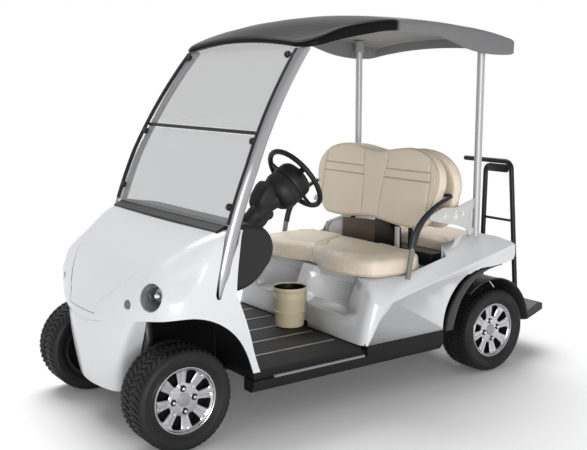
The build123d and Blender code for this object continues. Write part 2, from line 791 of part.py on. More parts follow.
bracket_outline = [(456, 690), (456, 844), (316, 937), (131, 933), (25, 968), (14, 700)]
with BuildPart() as brackets:
    with BuildSketch(Plane.XZ.offset(-post_y + 6)):
        Polygon(*[(rear_x + x, z) for x, z in bracket_outline], align=None)
        with Locations((rear_x + 390, 800), (rear_x + 265, 845), (rear_x + 155, 860)):
            SlotOverall(90, 44, rotation=60, mode=Mode.SUBTRACT)
    extrude(amount=-12)
    mirror(about=Plane.XZ)
with BuildPart() as post_brackets:
    add(brackets.part - pod_form(-seat_gap) - posts(post_r + seat_gap))
save(post_brackets, "post_brackets")

arm_r = 12
arm_y = body_half_width - 38
arm_root = upright_y + upright_half + seat_gap
with BuildPart() as arm_bars:
    with BuildLine() as arm_path:
        FilletPolyline(
            (rear_x + 286, arm_root, 980), (rear_x + 286, arm_y, 976), (rear_x + 545, arm_y, 878),
            (rear_x + 575, arm_y, 790), (rear_x + 605, arm_y, 550), radius=40,
        )
    with BuildSketch(Plane(arm_path.line @ 0, z_dir=arm_path.line % 0)):
        Circle(arm_r)
    sweep()
    mirror(about=Plane.XZ)
with BuildPart() as armrests:
    add(arm_bars.part - pod_form(-seat_gap))
save(armrests, "armrests")

# ---- rear step and grab frame -----------------------------------------------
step_rear = rear_x - rear_overhang
step_front = rear_x - 289
step_rear_half = 420
step_front_half = body_half_width - 40
riser_half = 350
riser_top = 330
with BuildPart() as platform:
    with BuildSketch(Plane.XY.offset(step_top - step_t + seat_gap)):
        Polygon(
            (step_front, -step_front_half), (step_front, step_front_half),
            (step_rear, step_rear_half), (step_rear, -step_rear_half), align=None,
        )
    extrude(amount=step_t - seat_gap)
    fillet(platform.edges().filter_by(Axis.Z), 40)
    # riser up to the pod's rear wall
    with Locations((step_front + 14, 0, (step_top + riser_top) / 2)):
        Box(24, 2 * riser_half, riser_top - step_top)
    with Locations((step_front + 14, 0, step_top - (step_t - seat_gap) / 2)):
        Box(40, 2 * riser_half, step_t - seat_gap)
with BuildPart() as rear_platform:
    add(platform.part - pod_form(-seat_gap))
save(rear_platform, "rear_platform")

grab_x = rear_x - 539
grab_r = 15
with BuildPart() as grab_frame:
    with BuildLine() as near_leg:
        FilletPolyline((grab_x, 263, step_top - 8), (grab_x, 190, 1095), (grab_x, -180, 1095), radius=50)
    with BuildSketch(Plane(near_leg.line @ 0, z_dir=near_leg.line % 0)):
        Circle(grab_r)
    sweep()
    with Locations((grab_x, -180, 1095)):
        Sphere(grab_r)
    with BuildLine() as far_leg:
        FilletPolyline((grab_x, -20, step_top - 8), (grab_x, -10, 1062), (grab_x, 185, 1062), radius=35)
    with BuildSketch(Plane(far_leg.line @ 0, z_dir=far_leg.line % 0)):
        Circle(grab_r)
    sweep()
    with BuildLine() as rung:
        Line((grab_x, 220, 740), (grab_x, -15, 740))
    with BuildSketch(Plane(rung.line @ 0, z_dir=rung.line % 0)):
        Circle(8)
    sweep()
grab_solid = grab_frame.part
with BuildPart() as grab_frame:
    add(grab_solid)
    with Locations((grab_x, 120, step_top - 50 + seat_gap)):
        Box(200, 600, 100, mode=Mode.SUBTRACT)
save(grab_frame, "grab_frame")

# ---- bin --------------------------------------------------------------------
bin_low_r = 75
bin_top_r = 88
bin_h = 208
bin_t = 4
bin_foot = floor_z + strip_h + seat_gap
bin_ring_z = 80               # the bin hangs by this ring in its holder
with BuildPart() as bin:
    # half section: radius, height
    with BuildSketch(Plane((bin_at[0], bin_at[1], bin_foot), x_dir=(1, 0, 0), z_dir=(0, -1, 0))):
        hoop_r = bin_low_r + (bin_top_r - bin_low_r) * bin_ring_z / bin_h
        Polygon(
            (0, 0), (bin_low_r, 0), (hoop_r, bin_ring_z), (hoop_r + 5, bin_ring_z), (hoop_r + 5, bin_ring_z + 8),
            (hoop_r, bin_ring_z + 8), (bin_top_r, bin_h - 8), (bin_top_r + 4, bin_h - 8), (bin_top_r + 4, bin_h),
            (bin_top_r - bin_t, bin_h), (bin_low_r - bin_t, 2 * bin_t), (0, 2 * bin_t), align=None,
        )
    revolve(axis=Axis((bin_at[0], bin_at[1], 0), (0, 0, 1)), revolution_arc=360)
save(bin, "bin")

# ---- steering wheel, column and pedals --------------------------------------
hub_at = Vector(front_x - 788, 270, 1105)
hub_axis = Vector(-0.829, 0, 0.559)
wheel_ring_r = 166
ring_r = 12
shaft_r = 11
column_r = 32
column_foot = hub_at - hub_axis * 400
column_top = hub_at - hub_axis * 46
housing_foot = hub_at - hub_axis * 190
with BuildPart() as column_form:
    with BuildSketch(Plane(column_foot, z_dir=hub_axis)):
        Circle(column_r)
    extrude(amount=(column_top - column_foot).length)
    with BuildSketch(Plane(column_top - hub_axis * 10, z_dir=hub_axis)):
        Circle(shaft_r)
    extrude(amount=40)
    # the housing behind the wheel widens towards the driver
    with BuildSketch(Plane(housing_foot, z_dir=hub_axis)):
        Circle(column_r + 8)
    with BuildSketch(Plane(column_top, z_dir=hub_axis)):
        Circle(70)
    loft()
    # display pod beside the column
    with BuildSketch(Plane.XZ.offset(-205)):
        Polygon(
            (front_x - 680, 985), (front_x - 625, 940), (front_x - 590, 975), (front_x - 600, 1040),
            (front_x - 655, 1080), align=None,
        )
    extrude(amount=65, both=True)
with BuildPart() as steering_column:
    add((column_form.part - dashboard.part).solids().sort_by(SortBy.VOLUME)[-1])
save(steering_column, "steering_column")

spoke_w = 34
with BuildPart() as steering_wheel:
    with BuildSketch(Plane(hub_at, x_dir=(0, 1, 0), z_dir=Vector(0, 1, 0).cross(hub_axis))):
        with Locations((wheel_ring_r, 0)):
            RegularPolygon(ring_r, 8)
    revolve(axis=Axis(hub_at, hub_axis), revolution_arc=360)
    with Locations(Plane(hub_at, z_dir=hub_axis)):
        with Locations((0, 0, -12)):
            Cone(60, 46, 36)
        for turn in (90, 210, 330):
            with Locations(Rot(0, 0, turn) * Pos(wheel_ring_r / 2, 0, -6)):
                Box(wheel_ring_r - 4, spoke_w, 9)
        with Locations((0, 0, -30)):
            Cylinder(shaft_r + seat_gap, 40, mode=Mode.SUBTRACT)
save(steering_wheel, "steering_wheel")

with BuildPart() as pedals:
    for y in (330, 240):
        with BuildSketch(Plane.XZ.offset(-y)):
            Polygon(
                (floor_front - 70, floor_z + seat_gap), (floor_front - 14, floor_z + seat_gap), (floor_front + 8, 402),
                (floor_front - 6, 408), align=None,
            )
        extrude(amount=32, both=True)
save(pedals, "pedals")

# ---- running gear -----------------------------------------------------------
kingpin_y = wheel_y - 126
kingpin_r = 16
upper_arm_z = 333.3
with BuildPart() as front_arms:
    with BuildSketch(Plane.XY.offset(arm_bottom)):
        Polygon(
            (front_x + arm_half + 12, rail_y + rail_w / 2 + arm_gap), (front_x + 16, kingpin_y + 20),
            (front_x - 16, kingpin_y + 20), (front_x - arm_half - 12, rail_y + rail_w / 2 + arm_gap), align=None,
        )
    extrude(amount=arm_t)
    with Locations((front_x - 12, (rail_y + kingpin_y) / 2 + 10, upper_arm_z + 8)):
        Box(24, kingpin_y - rail_y + 20, 16)
    with Locations((front_x - 12, rail_y, (rail_top + seat_gap + upper_arm_z + 16) / 2)):
        Box(24, 40, upper_arm_z + 16 - rail_top - seat_gap)
    mirror(about=Plane.XZ)
save(front_arms, "front_arms")

shock_y = kingpin_y - 32
tower_t = 12
shock_low = Vector(front_x + tower_x, shock_y, arm_bottom + arm_t + 10)
shock_top = Vector(front_x + tower_x, rail_y + 62, tower_top - tower_t - seat_gap)
with BuildPart() as shocks:
    along = (shock_top - shock_low).normalized()
    with BuildSketch(Plane(shock_low, z_dir=along)):
        Circle(13)
    extrude(amount=(shock_top - shock_low).length + 20)
    with BuildSketch(Plane(shock_low + along * 110, z_dir=along)):
        Circle(27)
    extrude(amount=250)
    with Locations((front_x, 0, shock_top.Z + 100)):
        Box(600, 1200, 200, mode=Mode.SUBTRACT)
    with Locations((front_x + tower_x - 4, shock_y, arm_bottom + arm_t + seat_gap + 8)):
        Box(26, 26, 16)
    mirror(about=Plane.XZ)
save(shocks, "shocks")

spindle_r = 14
spindle_end = wheel_y + 12
arm_back = 115
arm_in = kingpin_y - 32
eye_z = 172


def knuckle(side):
    with BuildPart() as form:
        with Locations((front_x, side * kingpin_y, (arm_bottom + arm_t + upper_arm_z) / 2)):
            Cylinder(kingpin_r, upper_arm_z - arm_bottom - arm_t - 0.6)
        with BuildSketch(Plane.XZ.offset(-side * kingpin_y)):
            with Locations((front_x, axle_z)):
                Circle(spindle_r)
        extrude(amount=-side * (spindle_end - kingpin_y))
        with BuildSketch(Plane.XY.offset(eye_z)):
            Polygon(
                (front_x + 10, side * (kingpin_y + 8)), (front_x - arm_back - 12, side * (arm_in + 12)),
                (front_x - arm_back - 12, side * (arm_in - 12)), (front_x + 4, side * (kingpin_y - 14)), align=None,
            )
        extrude(amount=10)
    return form


knuckle_left = knuckle(1)
save(knuckle_left, "knuckle_left")
knuckle_right = knuckle(-1)
save(knuckle_right, "knuckle_right")

rod_r = 8
rod_z = 158
with BuildPart() as track_rod:
    with BuildSketch(Plane.XZ):
        with Locations((front_x - arm_back, rod_z)):
            Circle(rod_r)
    extrude(amount=arm_in, both=True)
    for y in (arm_in, -arm_in):
        with Locations((front_x - arm_back, y, (rod_z - rod_r - 3 + eye_z - arm_gap) / 2)):
            Cylinder(13, eye_z - arm_gap - rod_z + rod_r + 3)
save(track_rod, "track_rod")

axle_end = wheel_y - 48
with BuildPart() as rear_axle:
    with BuildSketch(Plane.XZ):
        with Locations((rear_x, axle_z)):
            Circle(axle_tube_r)
    extrude(amount=axle_end, both=True)
    with BuildSketch(Plane.XZ):
        with Locations((rear_x, axle_z)):
            Circle(spindle_r)
    extrude(amount=spindle_end, both=True)
    with Locations((rear_x, 0, axle_z)):
        Box(140, 150, 140)
save(rear_axle, "rear_axle")

with BuildPart() as motor:
    with BuildSketch(Plane.XZ):
        with Locations((rear_x + 70 + seat_gap + 85, axle_z + 30)):
            Circle(85)
    extrude(amount=140, both=True)
save(motor, "motor")

with BuildPart() as battery_box:
    with Locations((rear_x + 545, 0, rail_top + seat_gap + 130)):
        Box(400, 680, 260)
save(battery_box, "battery_box")

# ---- wheels -----------------------------------------------------------------
bead_half = tyre_half - 18
rim_t = 9
flange_t = 6
hub_r = 42
spoke_count = 8
# half section of the tyre: radius, distance from the wheel's middle
tyre_profile = [
    (rim_r, bead_half), (rim_r + 8, bead_half), (rim_r + 23, tyre_half - 4), (rim_r + 42, tyre_half),
    (tyre_r - 18, tyre_half - 5), (tyre_r - 6, tyre_half - 14), (tyre_r, tyre_half - 30),
]


def tyre(x, y):
    with BuildPart() as form:
        with BuildSketch(Plane((x, y, axle_z), x_dir=(1, 0, 0), z_dir=(0, 0, 1))):
            Polygon(*tyre_profile, *[(r, -w) for r, w in reversed(tyre_profile)], align=None)
        revolve(axis=Axis((x, y, axle_z), (0, 1, 0)), revolution_arc=360)
    return form


def rim(x, y):
    side = 1 if y > 0 else -1
    face = Plane((x, y, axle_z), x_dir=(1, 0, 0), z_dir=(0, side, 0))
    with BuildPart() as form:
        with Locations(face):
            Cylinder(rim_r - seat_gap, 2 * bead_half + 10)
            for z in (bead_half + flange_t / 2 + seat_gap, -bead_half - flange_t / 2 - seat_gap):
                with Locations((0, 0, z)):
                    Cylinder(rim_r + 6, flange_t)
            Cylinder(rim_r - seat_gap - rim_t, 2 * bead_half + 20, mode=Mode.SUBTRACT)
            with Locations((0, 0, 62)):
                Cylinder(rim_r - rim_t, 14)
            with Locations((0, 0, 15)):
                Cylinder(hub_r, 110)
            with Locations((0, 0, 66)):
                Cylinder(30, 22)
    window = Plane(face.origin + face.z_dir * 50, x_dir=(1, 0, 0), z_dir=face.z_dir)
    with BuildPart() as form2:
        add(form.part)
        with BuildSketch(window):
            with PolarLocations(0, spoke_count):
                Polygon((62, -10), (128, -37), (128, 37), (62, 10), align=None)
        extrude(amount=40, mode=Mode.SUBTRACT)
        with Locations(face):
            with Locations((0, 0, -25)):
                Cylinder(spindle_r + 0.1, 76, mode=Mode.SUBTRACT)
    return form2


# wheel name, x, y
wheels = [
    ("fl", front_x, wheel_y), ("fr", front_x, -wheel_y), ("rl", rear_x, wheel_y), ("rr", rear_x, -wheel_y),
]
for name, x, y in wheels:
    save(tyre(x, y), "tyre_" + name)
    save(rim(x, y), "rim_" + name)
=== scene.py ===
import json
import math

import bmesh
import bpy
import numpy as np
from mathutils import Matrix, Vector


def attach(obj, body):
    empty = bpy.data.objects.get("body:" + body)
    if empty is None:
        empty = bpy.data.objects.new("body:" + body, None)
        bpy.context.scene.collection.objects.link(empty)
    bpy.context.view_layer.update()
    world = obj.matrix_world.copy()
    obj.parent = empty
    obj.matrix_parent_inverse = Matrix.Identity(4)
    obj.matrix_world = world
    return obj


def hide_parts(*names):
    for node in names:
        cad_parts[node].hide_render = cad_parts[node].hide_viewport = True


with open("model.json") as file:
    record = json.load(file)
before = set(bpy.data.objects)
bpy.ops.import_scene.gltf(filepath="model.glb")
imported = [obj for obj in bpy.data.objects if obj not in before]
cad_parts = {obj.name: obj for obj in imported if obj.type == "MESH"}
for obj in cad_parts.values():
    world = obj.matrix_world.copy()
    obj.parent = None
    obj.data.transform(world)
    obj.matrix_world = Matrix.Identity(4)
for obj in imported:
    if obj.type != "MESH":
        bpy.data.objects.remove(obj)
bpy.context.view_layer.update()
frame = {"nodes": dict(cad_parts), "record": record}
nodes = frame["nodes"]
scene = bpy.context.scene

# axles, the wheels' middle across, and the height of the axles
frontX = 1.1385
rearX = -0.7635
wheelY = 0.488
axleZ = 0.2295


# materials
def principled(name, color, rough, metal=0.0, coat=0.0, alpha=1.0, specular=0.5):
    mat = bpy.data.materials.new(name)
    mat.use_nodes = True
    shader = mat.node_tree.nodes["Principled BSDF"]
    shader.inputs["Base Color"].default_value = (*color, 1)
    shader.inputs["Roughness"].default_value = rough
    shader.inputs["Metallic"].default_value = metal
    shader.inputs["Coat Weight"].default_value = coat
    shader.inputs["Coat Roughness"].default_value = 0.05
    shader.inputs["Specular IOR Level"].default_value = specular
    shader.inputs["Alpha"].default_value = alpha
    return mat


def textureNode(mat, kind, scale, stretch=(1, 1, 1)):
    tree = mat.node_tree
    coord = tree.nodes.new("ShaderNodeTexCoord")
    mapping = tree.nodes.new("ShaderNodeMapping")
    mapping.inputs["Scale"].default_value = stretch
    texture = tree.nodes.new("ShaderNodeTex" + kind)
    texture.inputs["Scale"].default_value = scale
    tree.links.new(coord.outputs["Object"], mapping.inputs["Vector"])
    tree.links.new(mapping.outputs["Vector"], texture.inputs["Vector"])
    return texture.outputs["Distance"] if kind == "Voronoi" else texture.outputs[0]


def bump(mat, kind, scale, strength, distance, stretch=(1, 1, 1)):
    tree = mat.node_tree
    node = tree.nodes.new("ShaderNodeBump")
    node.inputs["Strength"].default_value = strength
    node.inputs["Distance"].default_value = distance
    tree.links.new(textureNode(mat, kind, scale, stretch), node.inputs["Height"])
    tree.links.new(node.outputs["Normal"], tree.nodes["Principled BSDF"].inputs["Normal"])
    return mat


# A slow change of one value over the surface, such as the sheen of handled plastic.
def mottle(mat, scale, low, high, socket="Roughness"):
    tree = mat.node_tree
    ramp = tree.nodes.new("ShaderNodeMapRange")
    ramp.inputs["From Min"].default_value = 0.3
    ramp.inputs["From Max"].default_value = 0.7
    ramp.inputs["To Min"].default_value = low
    ramp.inputs["To Max"].default_value = high
    tree.links.new(textureNode(mat, "Noise", scale), ramp.inputs["Value"])
    tree.links.new(ramp.outputs["Result"], tree.nodes["Principled BSDF"].inputs[socket])
    return mat


# A colour between two, for a socket.
def mixed(tree, first, second, factor, socket):
    mix = tree.nodes.new("ShaderNodeMix")
    mix.data_type = "RGBA"
    mix.inputs["A"].default_value = (*first, 1)
    mix.inputs["B"].default_value = (*second, 1)
    tree.links.new(factor, mix.inputs["Factor"])
    tree.links.new(mix.outputs["Result"], socket)


# A slow change of colour between two near tones.
def tint(mat, scale, first, second):
    base = mat.node_tree.nodes["Principled BSDF"].inputs["Base Color"]
    mixed(mat.node_tree, first, second, textureNode(mat, "Noise", scale), base)
    return mat


bodyWhite = mottle(principled("bodyWhite", (0.585, 0.59, 0.60), 0.3, coat=0.5), 3, 0.29, 0.32)
platformGrey = bump(principled("platformGrey", (0.09, 0.09, 0.092), 0.6), "Voronoi", 160, 0.5, 0.002)
frameBlack = bump(principled("frameBlack", (0.006, 0.006, 0.0065), 0.4, specular=0.3), "Noise", 300, 0.05, 0.0004)
sillBlack = bump(principled("sillBlack", (0.006, 0.006, 0.0065), 0.5, specular=0.25), "Noise", 900, 0.15, 0.0006)
matBlack = bump(principled("matBlack", (0.008, 0.008, 0.0085), 0.6, specular=0.25), "Noise", 700, 0.2, 0.0006)
stripMetal = bump(principled("stripMetal", (0.60, 0.60, 0.59), 0.3, metal=1.0), "Noise", 200, 0.1, 0.0004, (0.1, 4, 1))
trimGrey = bump(principled("trimGrey", (0.20, 0.20, 0.21), 0.45), "Noise", 500, 0.1, 0.0004)
linerBlack = bump(principled("linerBlack", (0.004, 0.004, 0.0045), 0.7, specular=0.15), "Noise", 400, 0.2, 0.0008)
dashGrey = bump(principled("dashGrey", (0.012, 0.012, 0.013), 0.5, specular=0.3), "Voronoi", 700, 0.2, 0.0006)
lampCup = mottle(principled("lampCup", (0.42, 0.43, 0.44), 0.3, metal=0.7), 20, 0.25, 0.35)
chrome = mottle(principled("chrome", (0.78, 0.79, 0.80), 0.08, metal=1.0), 30, 0.06, 0.12)
amber = bump(principled("amber", (0.075, 0.065, 0.06), 0.15, coat=1.0), "Voronoi", 260, 0.3, 0.001)
clear = mottle(principled("clear", (0.24, 0.245, 0.25), 0.03, alpha=0.36, specular=0.6), 4, 0.02, 0.05)
footGrey = bump(principled("footGrey", (0.17, 0.17, 0.145), 0.5), "Noise", 400, 0.15, 0.0005)
pillarSilver = bump(principled("pillarSilver", (0.36, 0.36, 0.37), 0.34, metal=0.8), "Noise", 500, 0.06, 0.0004)
lampBowl = mottle(principled("lampBowl", (0.20, 0.205, 0.21), 0.25, metal=0.8), 8, 0.22, 0.30)
postSilver = bump(principled("postSilver", (0.40, 0.40, 0.41), 0.45, metal=0.5), "Noise", 500, 0.06, 0.0004)
shockDark = mottle(principled("shockDark", (0.035, 0.035, 0.037), 0.4, metal=0.6), 60, 0.3, 0.5)
castPale = bump(principled("castPale", (0.50, 0.50, 0.49), 0.5, metal=0.2), "Noise", 300, 0.15, 0.0006)
beige = bump(principled("beige", (0.72, 0.63, 0.50), 0.45), "Voronoi", 420, 0.12, 0.0005)
beige = tint(beige, 7, (0.70, 0.62, 0.50), (0.65, 0.57, 0.45))
pipingBeige = bump(principled("pipingBeige", (0.60, 0.52, 0.40), 0.5), "Noise", 500, 0.2, 0.0005)
# painted shade for the bottoms of the seams on the pads
paintedSeamShade = bump(principled("paintedSeamShade", (0.43, 0.37, 0.29), 0.6), "Noise", 500, 0.2, 0.0005)
binBeige = mottle(principled("binBeige", (0.55, 0.48, 0.33), 0.4), 12, 0.35, 0.5)
binBeige = tint(binBeige, 9, (0.57, 0.50, 0.34), (0.52, 0.45, 0.305))
alloy = mottle(principled("alloy", (0.52, 0.52, 0.53), 0.2, metal=1.0), 40, 0.16, 0.26)
alloyDark = mottle(principled("alloyDark", (0.03, 0.03, 0.032), 0.4, metal=0.6), 30, 0.35, 0.5)
# painted shade: near-black for the floors of the lug pockets, and for the disc behind the rim's windows, which is
# partly the brake drum
shadeAndDrumBlack = bump(principled("shadeAndDrumBlack", (0.004, 0.004, 0.004), 0.6, specular=0.2), "Noise", 400, 0.2, 0.0006)
capGrey = mottle(principled("capGrey", (0.30, 0.30, 0.31), 0.35, metal=0.6), 40, 0.3, 0.42)
rubber = bump(principled("rubber", (0.009, 0.009, 0.0095), 0.6, specular=0.3), "Noise", 600, 0.2, 0.0006)
rubber = mottle(rubber, 9, 0.52, 0.68)
steel = mottle(principled("steel", (0.42, 0.42, 0.43), 0.35, metal=1.0), 40, 0.28, 0.42)
motorBlack = bump(principled("motorBlack", (0.02, 0.02, 0.022), 0.45), "Noise", 200, 0.1, 0.0006)


# the roof is black over its front and grey behind, with a soft edge between two places along the cart
roofColors = {"front": (0.006, 0.006, 0.0065), "rear": (0.16, 0.16, 0.163), "frontTo": -0.020, "rearFrom": -0.045}


def roofPaint(shape):
    mat = principled("roofPaint", (0.02, 0.02, 0.02), 0.30, coat=0.0, specular=0.05)
    tree = mat.node_tree
    coord = tree.nodes.new("ShaderNodeTexCoord")
    split = tree.nodes.new("ShaderNodeSeparateXYZ")
    tree.links.new(coord.outputs["Object"], split.inputs["Vector"])
    behind = tree.nodes.new("ShaderNodeMapRange")
    behind.inputs["From Min"].default_value = shape["frontTo"]
    behind.inputs["From Max"].default_value = shape["rearFrom"]
    tree.links.new(split.outputs["X"], behind.inputs["Value"])
    base = tree.nodes["Principled BSDF"].inputs["Base Color"]
    mixed(tree, shape["front"], shape["rear"], behind.outputs["Result"], base)
    return mat


roofDark = roofPaint(roofColors)
trimDark = bump(principled("trimDark", (0.030, 0.030, 0.032), 0.4, specular=0.4), "Noise", 500, 0.12, 0.0004)
armBlack = mottle(principled("armBlack", (0.012, 0.012, 0.012), 0.4, specular=0.4), 30, 0.34, 0.5)
gripBlack = bump(principled("gripBlack", (0.008, 0.008, 0.008), 0.5, specular=0.35), "Voronoi", 600, 0.2, 0.0005)
panelBrown = principled("panelBrown", (0.10, 0.07, 0.05), 0.5, specular=0.3)
panelBrown = tint(panelBrown, 6, (0.13, 0.09, 0.065), (0.05, 0.035, 0.028))
roofUnder = bump(principled("roofUnder", (0.24, 0.24, 0.235), 0.65, specular=0.2), "Noise", 300, 0.15, 0.0006)

slotMaterial = {
    "body_white": bodyWhite, "frame_black": frameBlack, "sill_black": sillBlack, "mat_grey": matBlack,
    "strip_aluminium": stripMetal, "trim_grey": trimGrey, "liner_black": linerBlack, "dash_grey": dashGrey,
    "lamp_cup": lampCup, "lamp_lens": chrome, "indicator_lens": amber, "windshield_clear": clear,
    "pillar_silver": pillarSilver, "roof_grey": roofDark, "bracket_cast": castPale, "seat_beige": beige,
    "bin_beige": binBeige, "wheel_alloy": alloy, "tyre_rubber": rubber, "steel": steel, "motor_black": motorBlack,
}
ownMaterial = {"rear_posts": postSilver, "shocks": shockDark}
for part in frame["record"]["subparts"]:
    node = nodes[part["node"]]
    if not node.data.materials:
        node.data.materials.append(None)
    for i in range(len(node.data.materials)):
        node.data.materials[i] = ownMaterial.get(part["node"], slotMaterial[part["material_slot"]])
print("stage: materials")


# building helpers
def newPiece(name, mesh, body, replaced=(), sharp=35):
    obj = bpy.data.objects.new(name, mesh)
    scene.collection.objects.link(obj)
    mesh.shade_smooth()
    mesh.set_sharp_from_angle(angle=math.radians(sharp))
    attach(obj, body)
    if replaced:
        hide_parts(*replaced)
    return obj


def toMesh(bm, name, materials, normals=True):
    if normals:
        bmesh.ops.recalc_face_normals(bm, faces=bm.faces[:])
    mesh = bpy.data.meshes.new(name)
    bm.to_mesh(mesh)
    bm.free()
    for mat in materials:
        mesh.materials.append(mat)
    return mesh


# Faces between rows of vertices that close up on themselves, with ends or round to the first row.
def skin(bm, rows, looped=False):
    for low, high in zip(rows, rows[1:] + rows[:1] if looped else rows[1:]):
        for i in range(len(low)):
            j = (i + 1) % len(low)
            bm.faces.new((low[i], low[j], high[j], high[i]))
    if not looped:
        bm.faces.new(rows[0])
        bm.faces.new(rows[-1])


# Turns (radius, along) pairs round the local Y axis.
def lathe(bm, profile, segments, slot=0, closed=True):
    rings = []
    for radius, along in profile:
        if radius < 1e-6:
            rings.append([bm.verts.new((0, along, 0))] * segments)
            continue
        turns = [2 * math.pi * i / segments for i in range(segments)]
        rings.append([bm.verts.new((radius * math.cos(a), along, radius * math.sin(a))) for a in turns])
    pairs = list(zip(rings, rings[1:])) + ([(rings[-1], rings[0])] if closed else [])
    for low, high in pairs:
        for i in range(segments):
            j = (i + 1) % segments
            corners = [low[i], low[j], high[j], high[i]]
            corners = [v for k, v in enumerate(corners) if v not in corners[:k]]
            if len(corners) > 2:
                bm.faces.new(corners).material_index = slot


def ringTree():
    tree = bpy.data.node_groups.new("ringRepeat", "GeometryNodeTree")
    face = tree.interface
    face.new_socket("Geometry", in_out="INPUT", socket_type="NodeSocketGeometry")
    face.new_socket("Count", in_out="INPUT", socket_type="NodeSocketInt")
    face.new_socket("Material", in_out="INPUT", socket_type="NodeSocketMaterial")
    face.new_socket("Geometry", in_out="OUTPUT", socket_type="NodeSocketGeometry")
    new, link = tree.nodes.new, tree.links.new
    given, result = new("NodeGroupInput"), new("NodeGroupOutput")
    points, index, share = new("GeometryNodePoints"), new("GeometryNodeInputIndex"), new("ShaderNodeMath")
    turn, angle, copies = new("ShaderNodeMath"), new("ShaderNodeCombineXYZ"), new("GeometryNodeInstanceOnPoints")
    real, weld = new("GeometryNodeRealizeInstances"), new("GeometryNodeMergeByDistance")
    paint = new("GeometryNodeSetMaterial")
    share.operation = "DIVIDE"
    turn.operation = "MULTIPLY"
    turn.inputs[1].default_value = 2 * math.pi
    weld.inputs["Distance"].default_value = 0.00005
    link(given.outputs["Count"], points.inputs["Count"])
    link(index.outputs["Index"], share.inputs[0])
    link(given.outputs["Count"], share.inputs[1])
    link(share.outputs[0], turn.inputs[0])
    link(turn.outputs[0], angle.inputs["Y"])
    link(points.outputs[0], copies.inputs["Points"])
    link(given.outputs["Geometry"], copies.inputs["Instance"])
    link(angle.outputs[0], copies.inputs["Rotation"])
    link(copies.outputs[0], real.inputs[0])
    link(real.outputs[0], weld.inputs["Geometry"])
    link(weld.outputs[0], paint.inputs["Geometry"])
    link(given.outputs["Material"], paint.inputs["Material"])
    link(paint.outputs[0], result.inputs["Geometry"])
    return tree


ringRepeat = ringTree()


# The object's mesh with its modifiers, which are then removed.
def applied(obj):
    graph = bpy.context.evaluated_depsgraph_get()
    mesh = bpy.data.meshes.new_from_object(obj.evaluated_get(graph))
    obj.modifiers.clear()
    return mesh


# One unit repeated round the local Y axis, as a plain mesh.
def ringOf(unit, count, mat):
    holder = bpy.data.objects.new("ringUnit", unit)
    scene.collection.objects.link(holder)
    repeat = holder.modifiers.new("repeat", "NODES")
    repeat.node_group = ringRepeat
    sockets = {s.name: s.identifier for s in ringRepeat.interface.items_tree if s.in_out == "INPUT"}
    repeat[sockets["Count"]] = count
    repeat[sockets["Material"]] = mat
    mesh = applied(holder)
    bpy.data.objects.remove(holder)
    return mesh


# Several meshes as one, each with the slot number that goes with it.
def joined(name, meshes, materials):
    bm = bmesh.new()
    for mesh, slot in meshes:
        start = len(bm.faces)
        bm.from_mesh(mesh)
        bm.faces.ensure_lookup_table()
        if slot is not None:
            for face in bm.faces[start:]:
                face.material_index = slot
    return toMesh(bm, name, materials, normals=False)


# wheels
tyreShape = {
    "segments": 120,
    # radius, distance from the middle
    "side": [
        (0.1505, 0.0838), (0.1600, 0.0860), (0.1660, 0.0925), (0.1740, 0.0985), (0.1860, 0.1012), (0.1980, 0.1014),
        (0.1995, 0.1020), (0.2015, 0.1012), (0.2100, 0.0985), (0.2165, 0.0945), (0.2195, 0.0900), (0.2215, 0.0820),
        (0.2225, 0.0700), (0.2235, 0.0300),
    ],
    "pitches": 50,
    # from, to, slant
    "blocks": [(-0.0890, -0.0500, 1), (-0.0455, -0.0030, -1), (0.0030, 0.0455, 1), (0.0500, 0.0890, -1)],
    "skew": 0.020,
    "blockLow": 0.0086, "blockTop": 0.0070, "blockDepth": 0.0085,
    "radius": 0.2294, "flatHalf": 0.066, "drop": 14,  # the tread falls off outside its flat middle
}


# Outer radius of the tread at a distance from the middle.
def crown(shape, w):
    over = max(0.0, abs(w) - shape["flatHalf"])
    return shape["radius"] - shape["drop"] * over * over


def treadUnit(shape):
    bm = bmesh.new()
    for start, end, slant in shape["blocks"]:
        rows = []
        for k in range(4):
            w = start + (end - start) * k / 3
            top, low = crown(shape, w), crown(shape, w) - shape["blockDepth"]
            middle = slant * (k / 3 - 0.5) * shape["skew"]
            row = []
            foot, head = shape["blockLow"], shape["blockTop"]
            for across, radius in ((-foot, low), (-head, top), (head, top), (foot, low)):
                a = (middle + across) / radius
                row.append(bm.verts.new((radius * math.cos(a), w, radius * math.sin(a))))
            rows.append(row)
        skin(bm, rows)
    return toMesh(bm, "treadUnit", [rubber])


def tyreMesh(shape):
    bm = bmesh.new()
    side = shape["side"]
    lathe(bm, side + [(r, -w) for r, w in reversed(side)], shape["segments"])
    carcass = toMesh(bm, "carcass", [rubber])
    tread = ringOf(treadUnit(shape), shape["pitches"], rubber)
    return joined("tyreMesh", [(carcass, 0), (tread, 0)], [rubber])


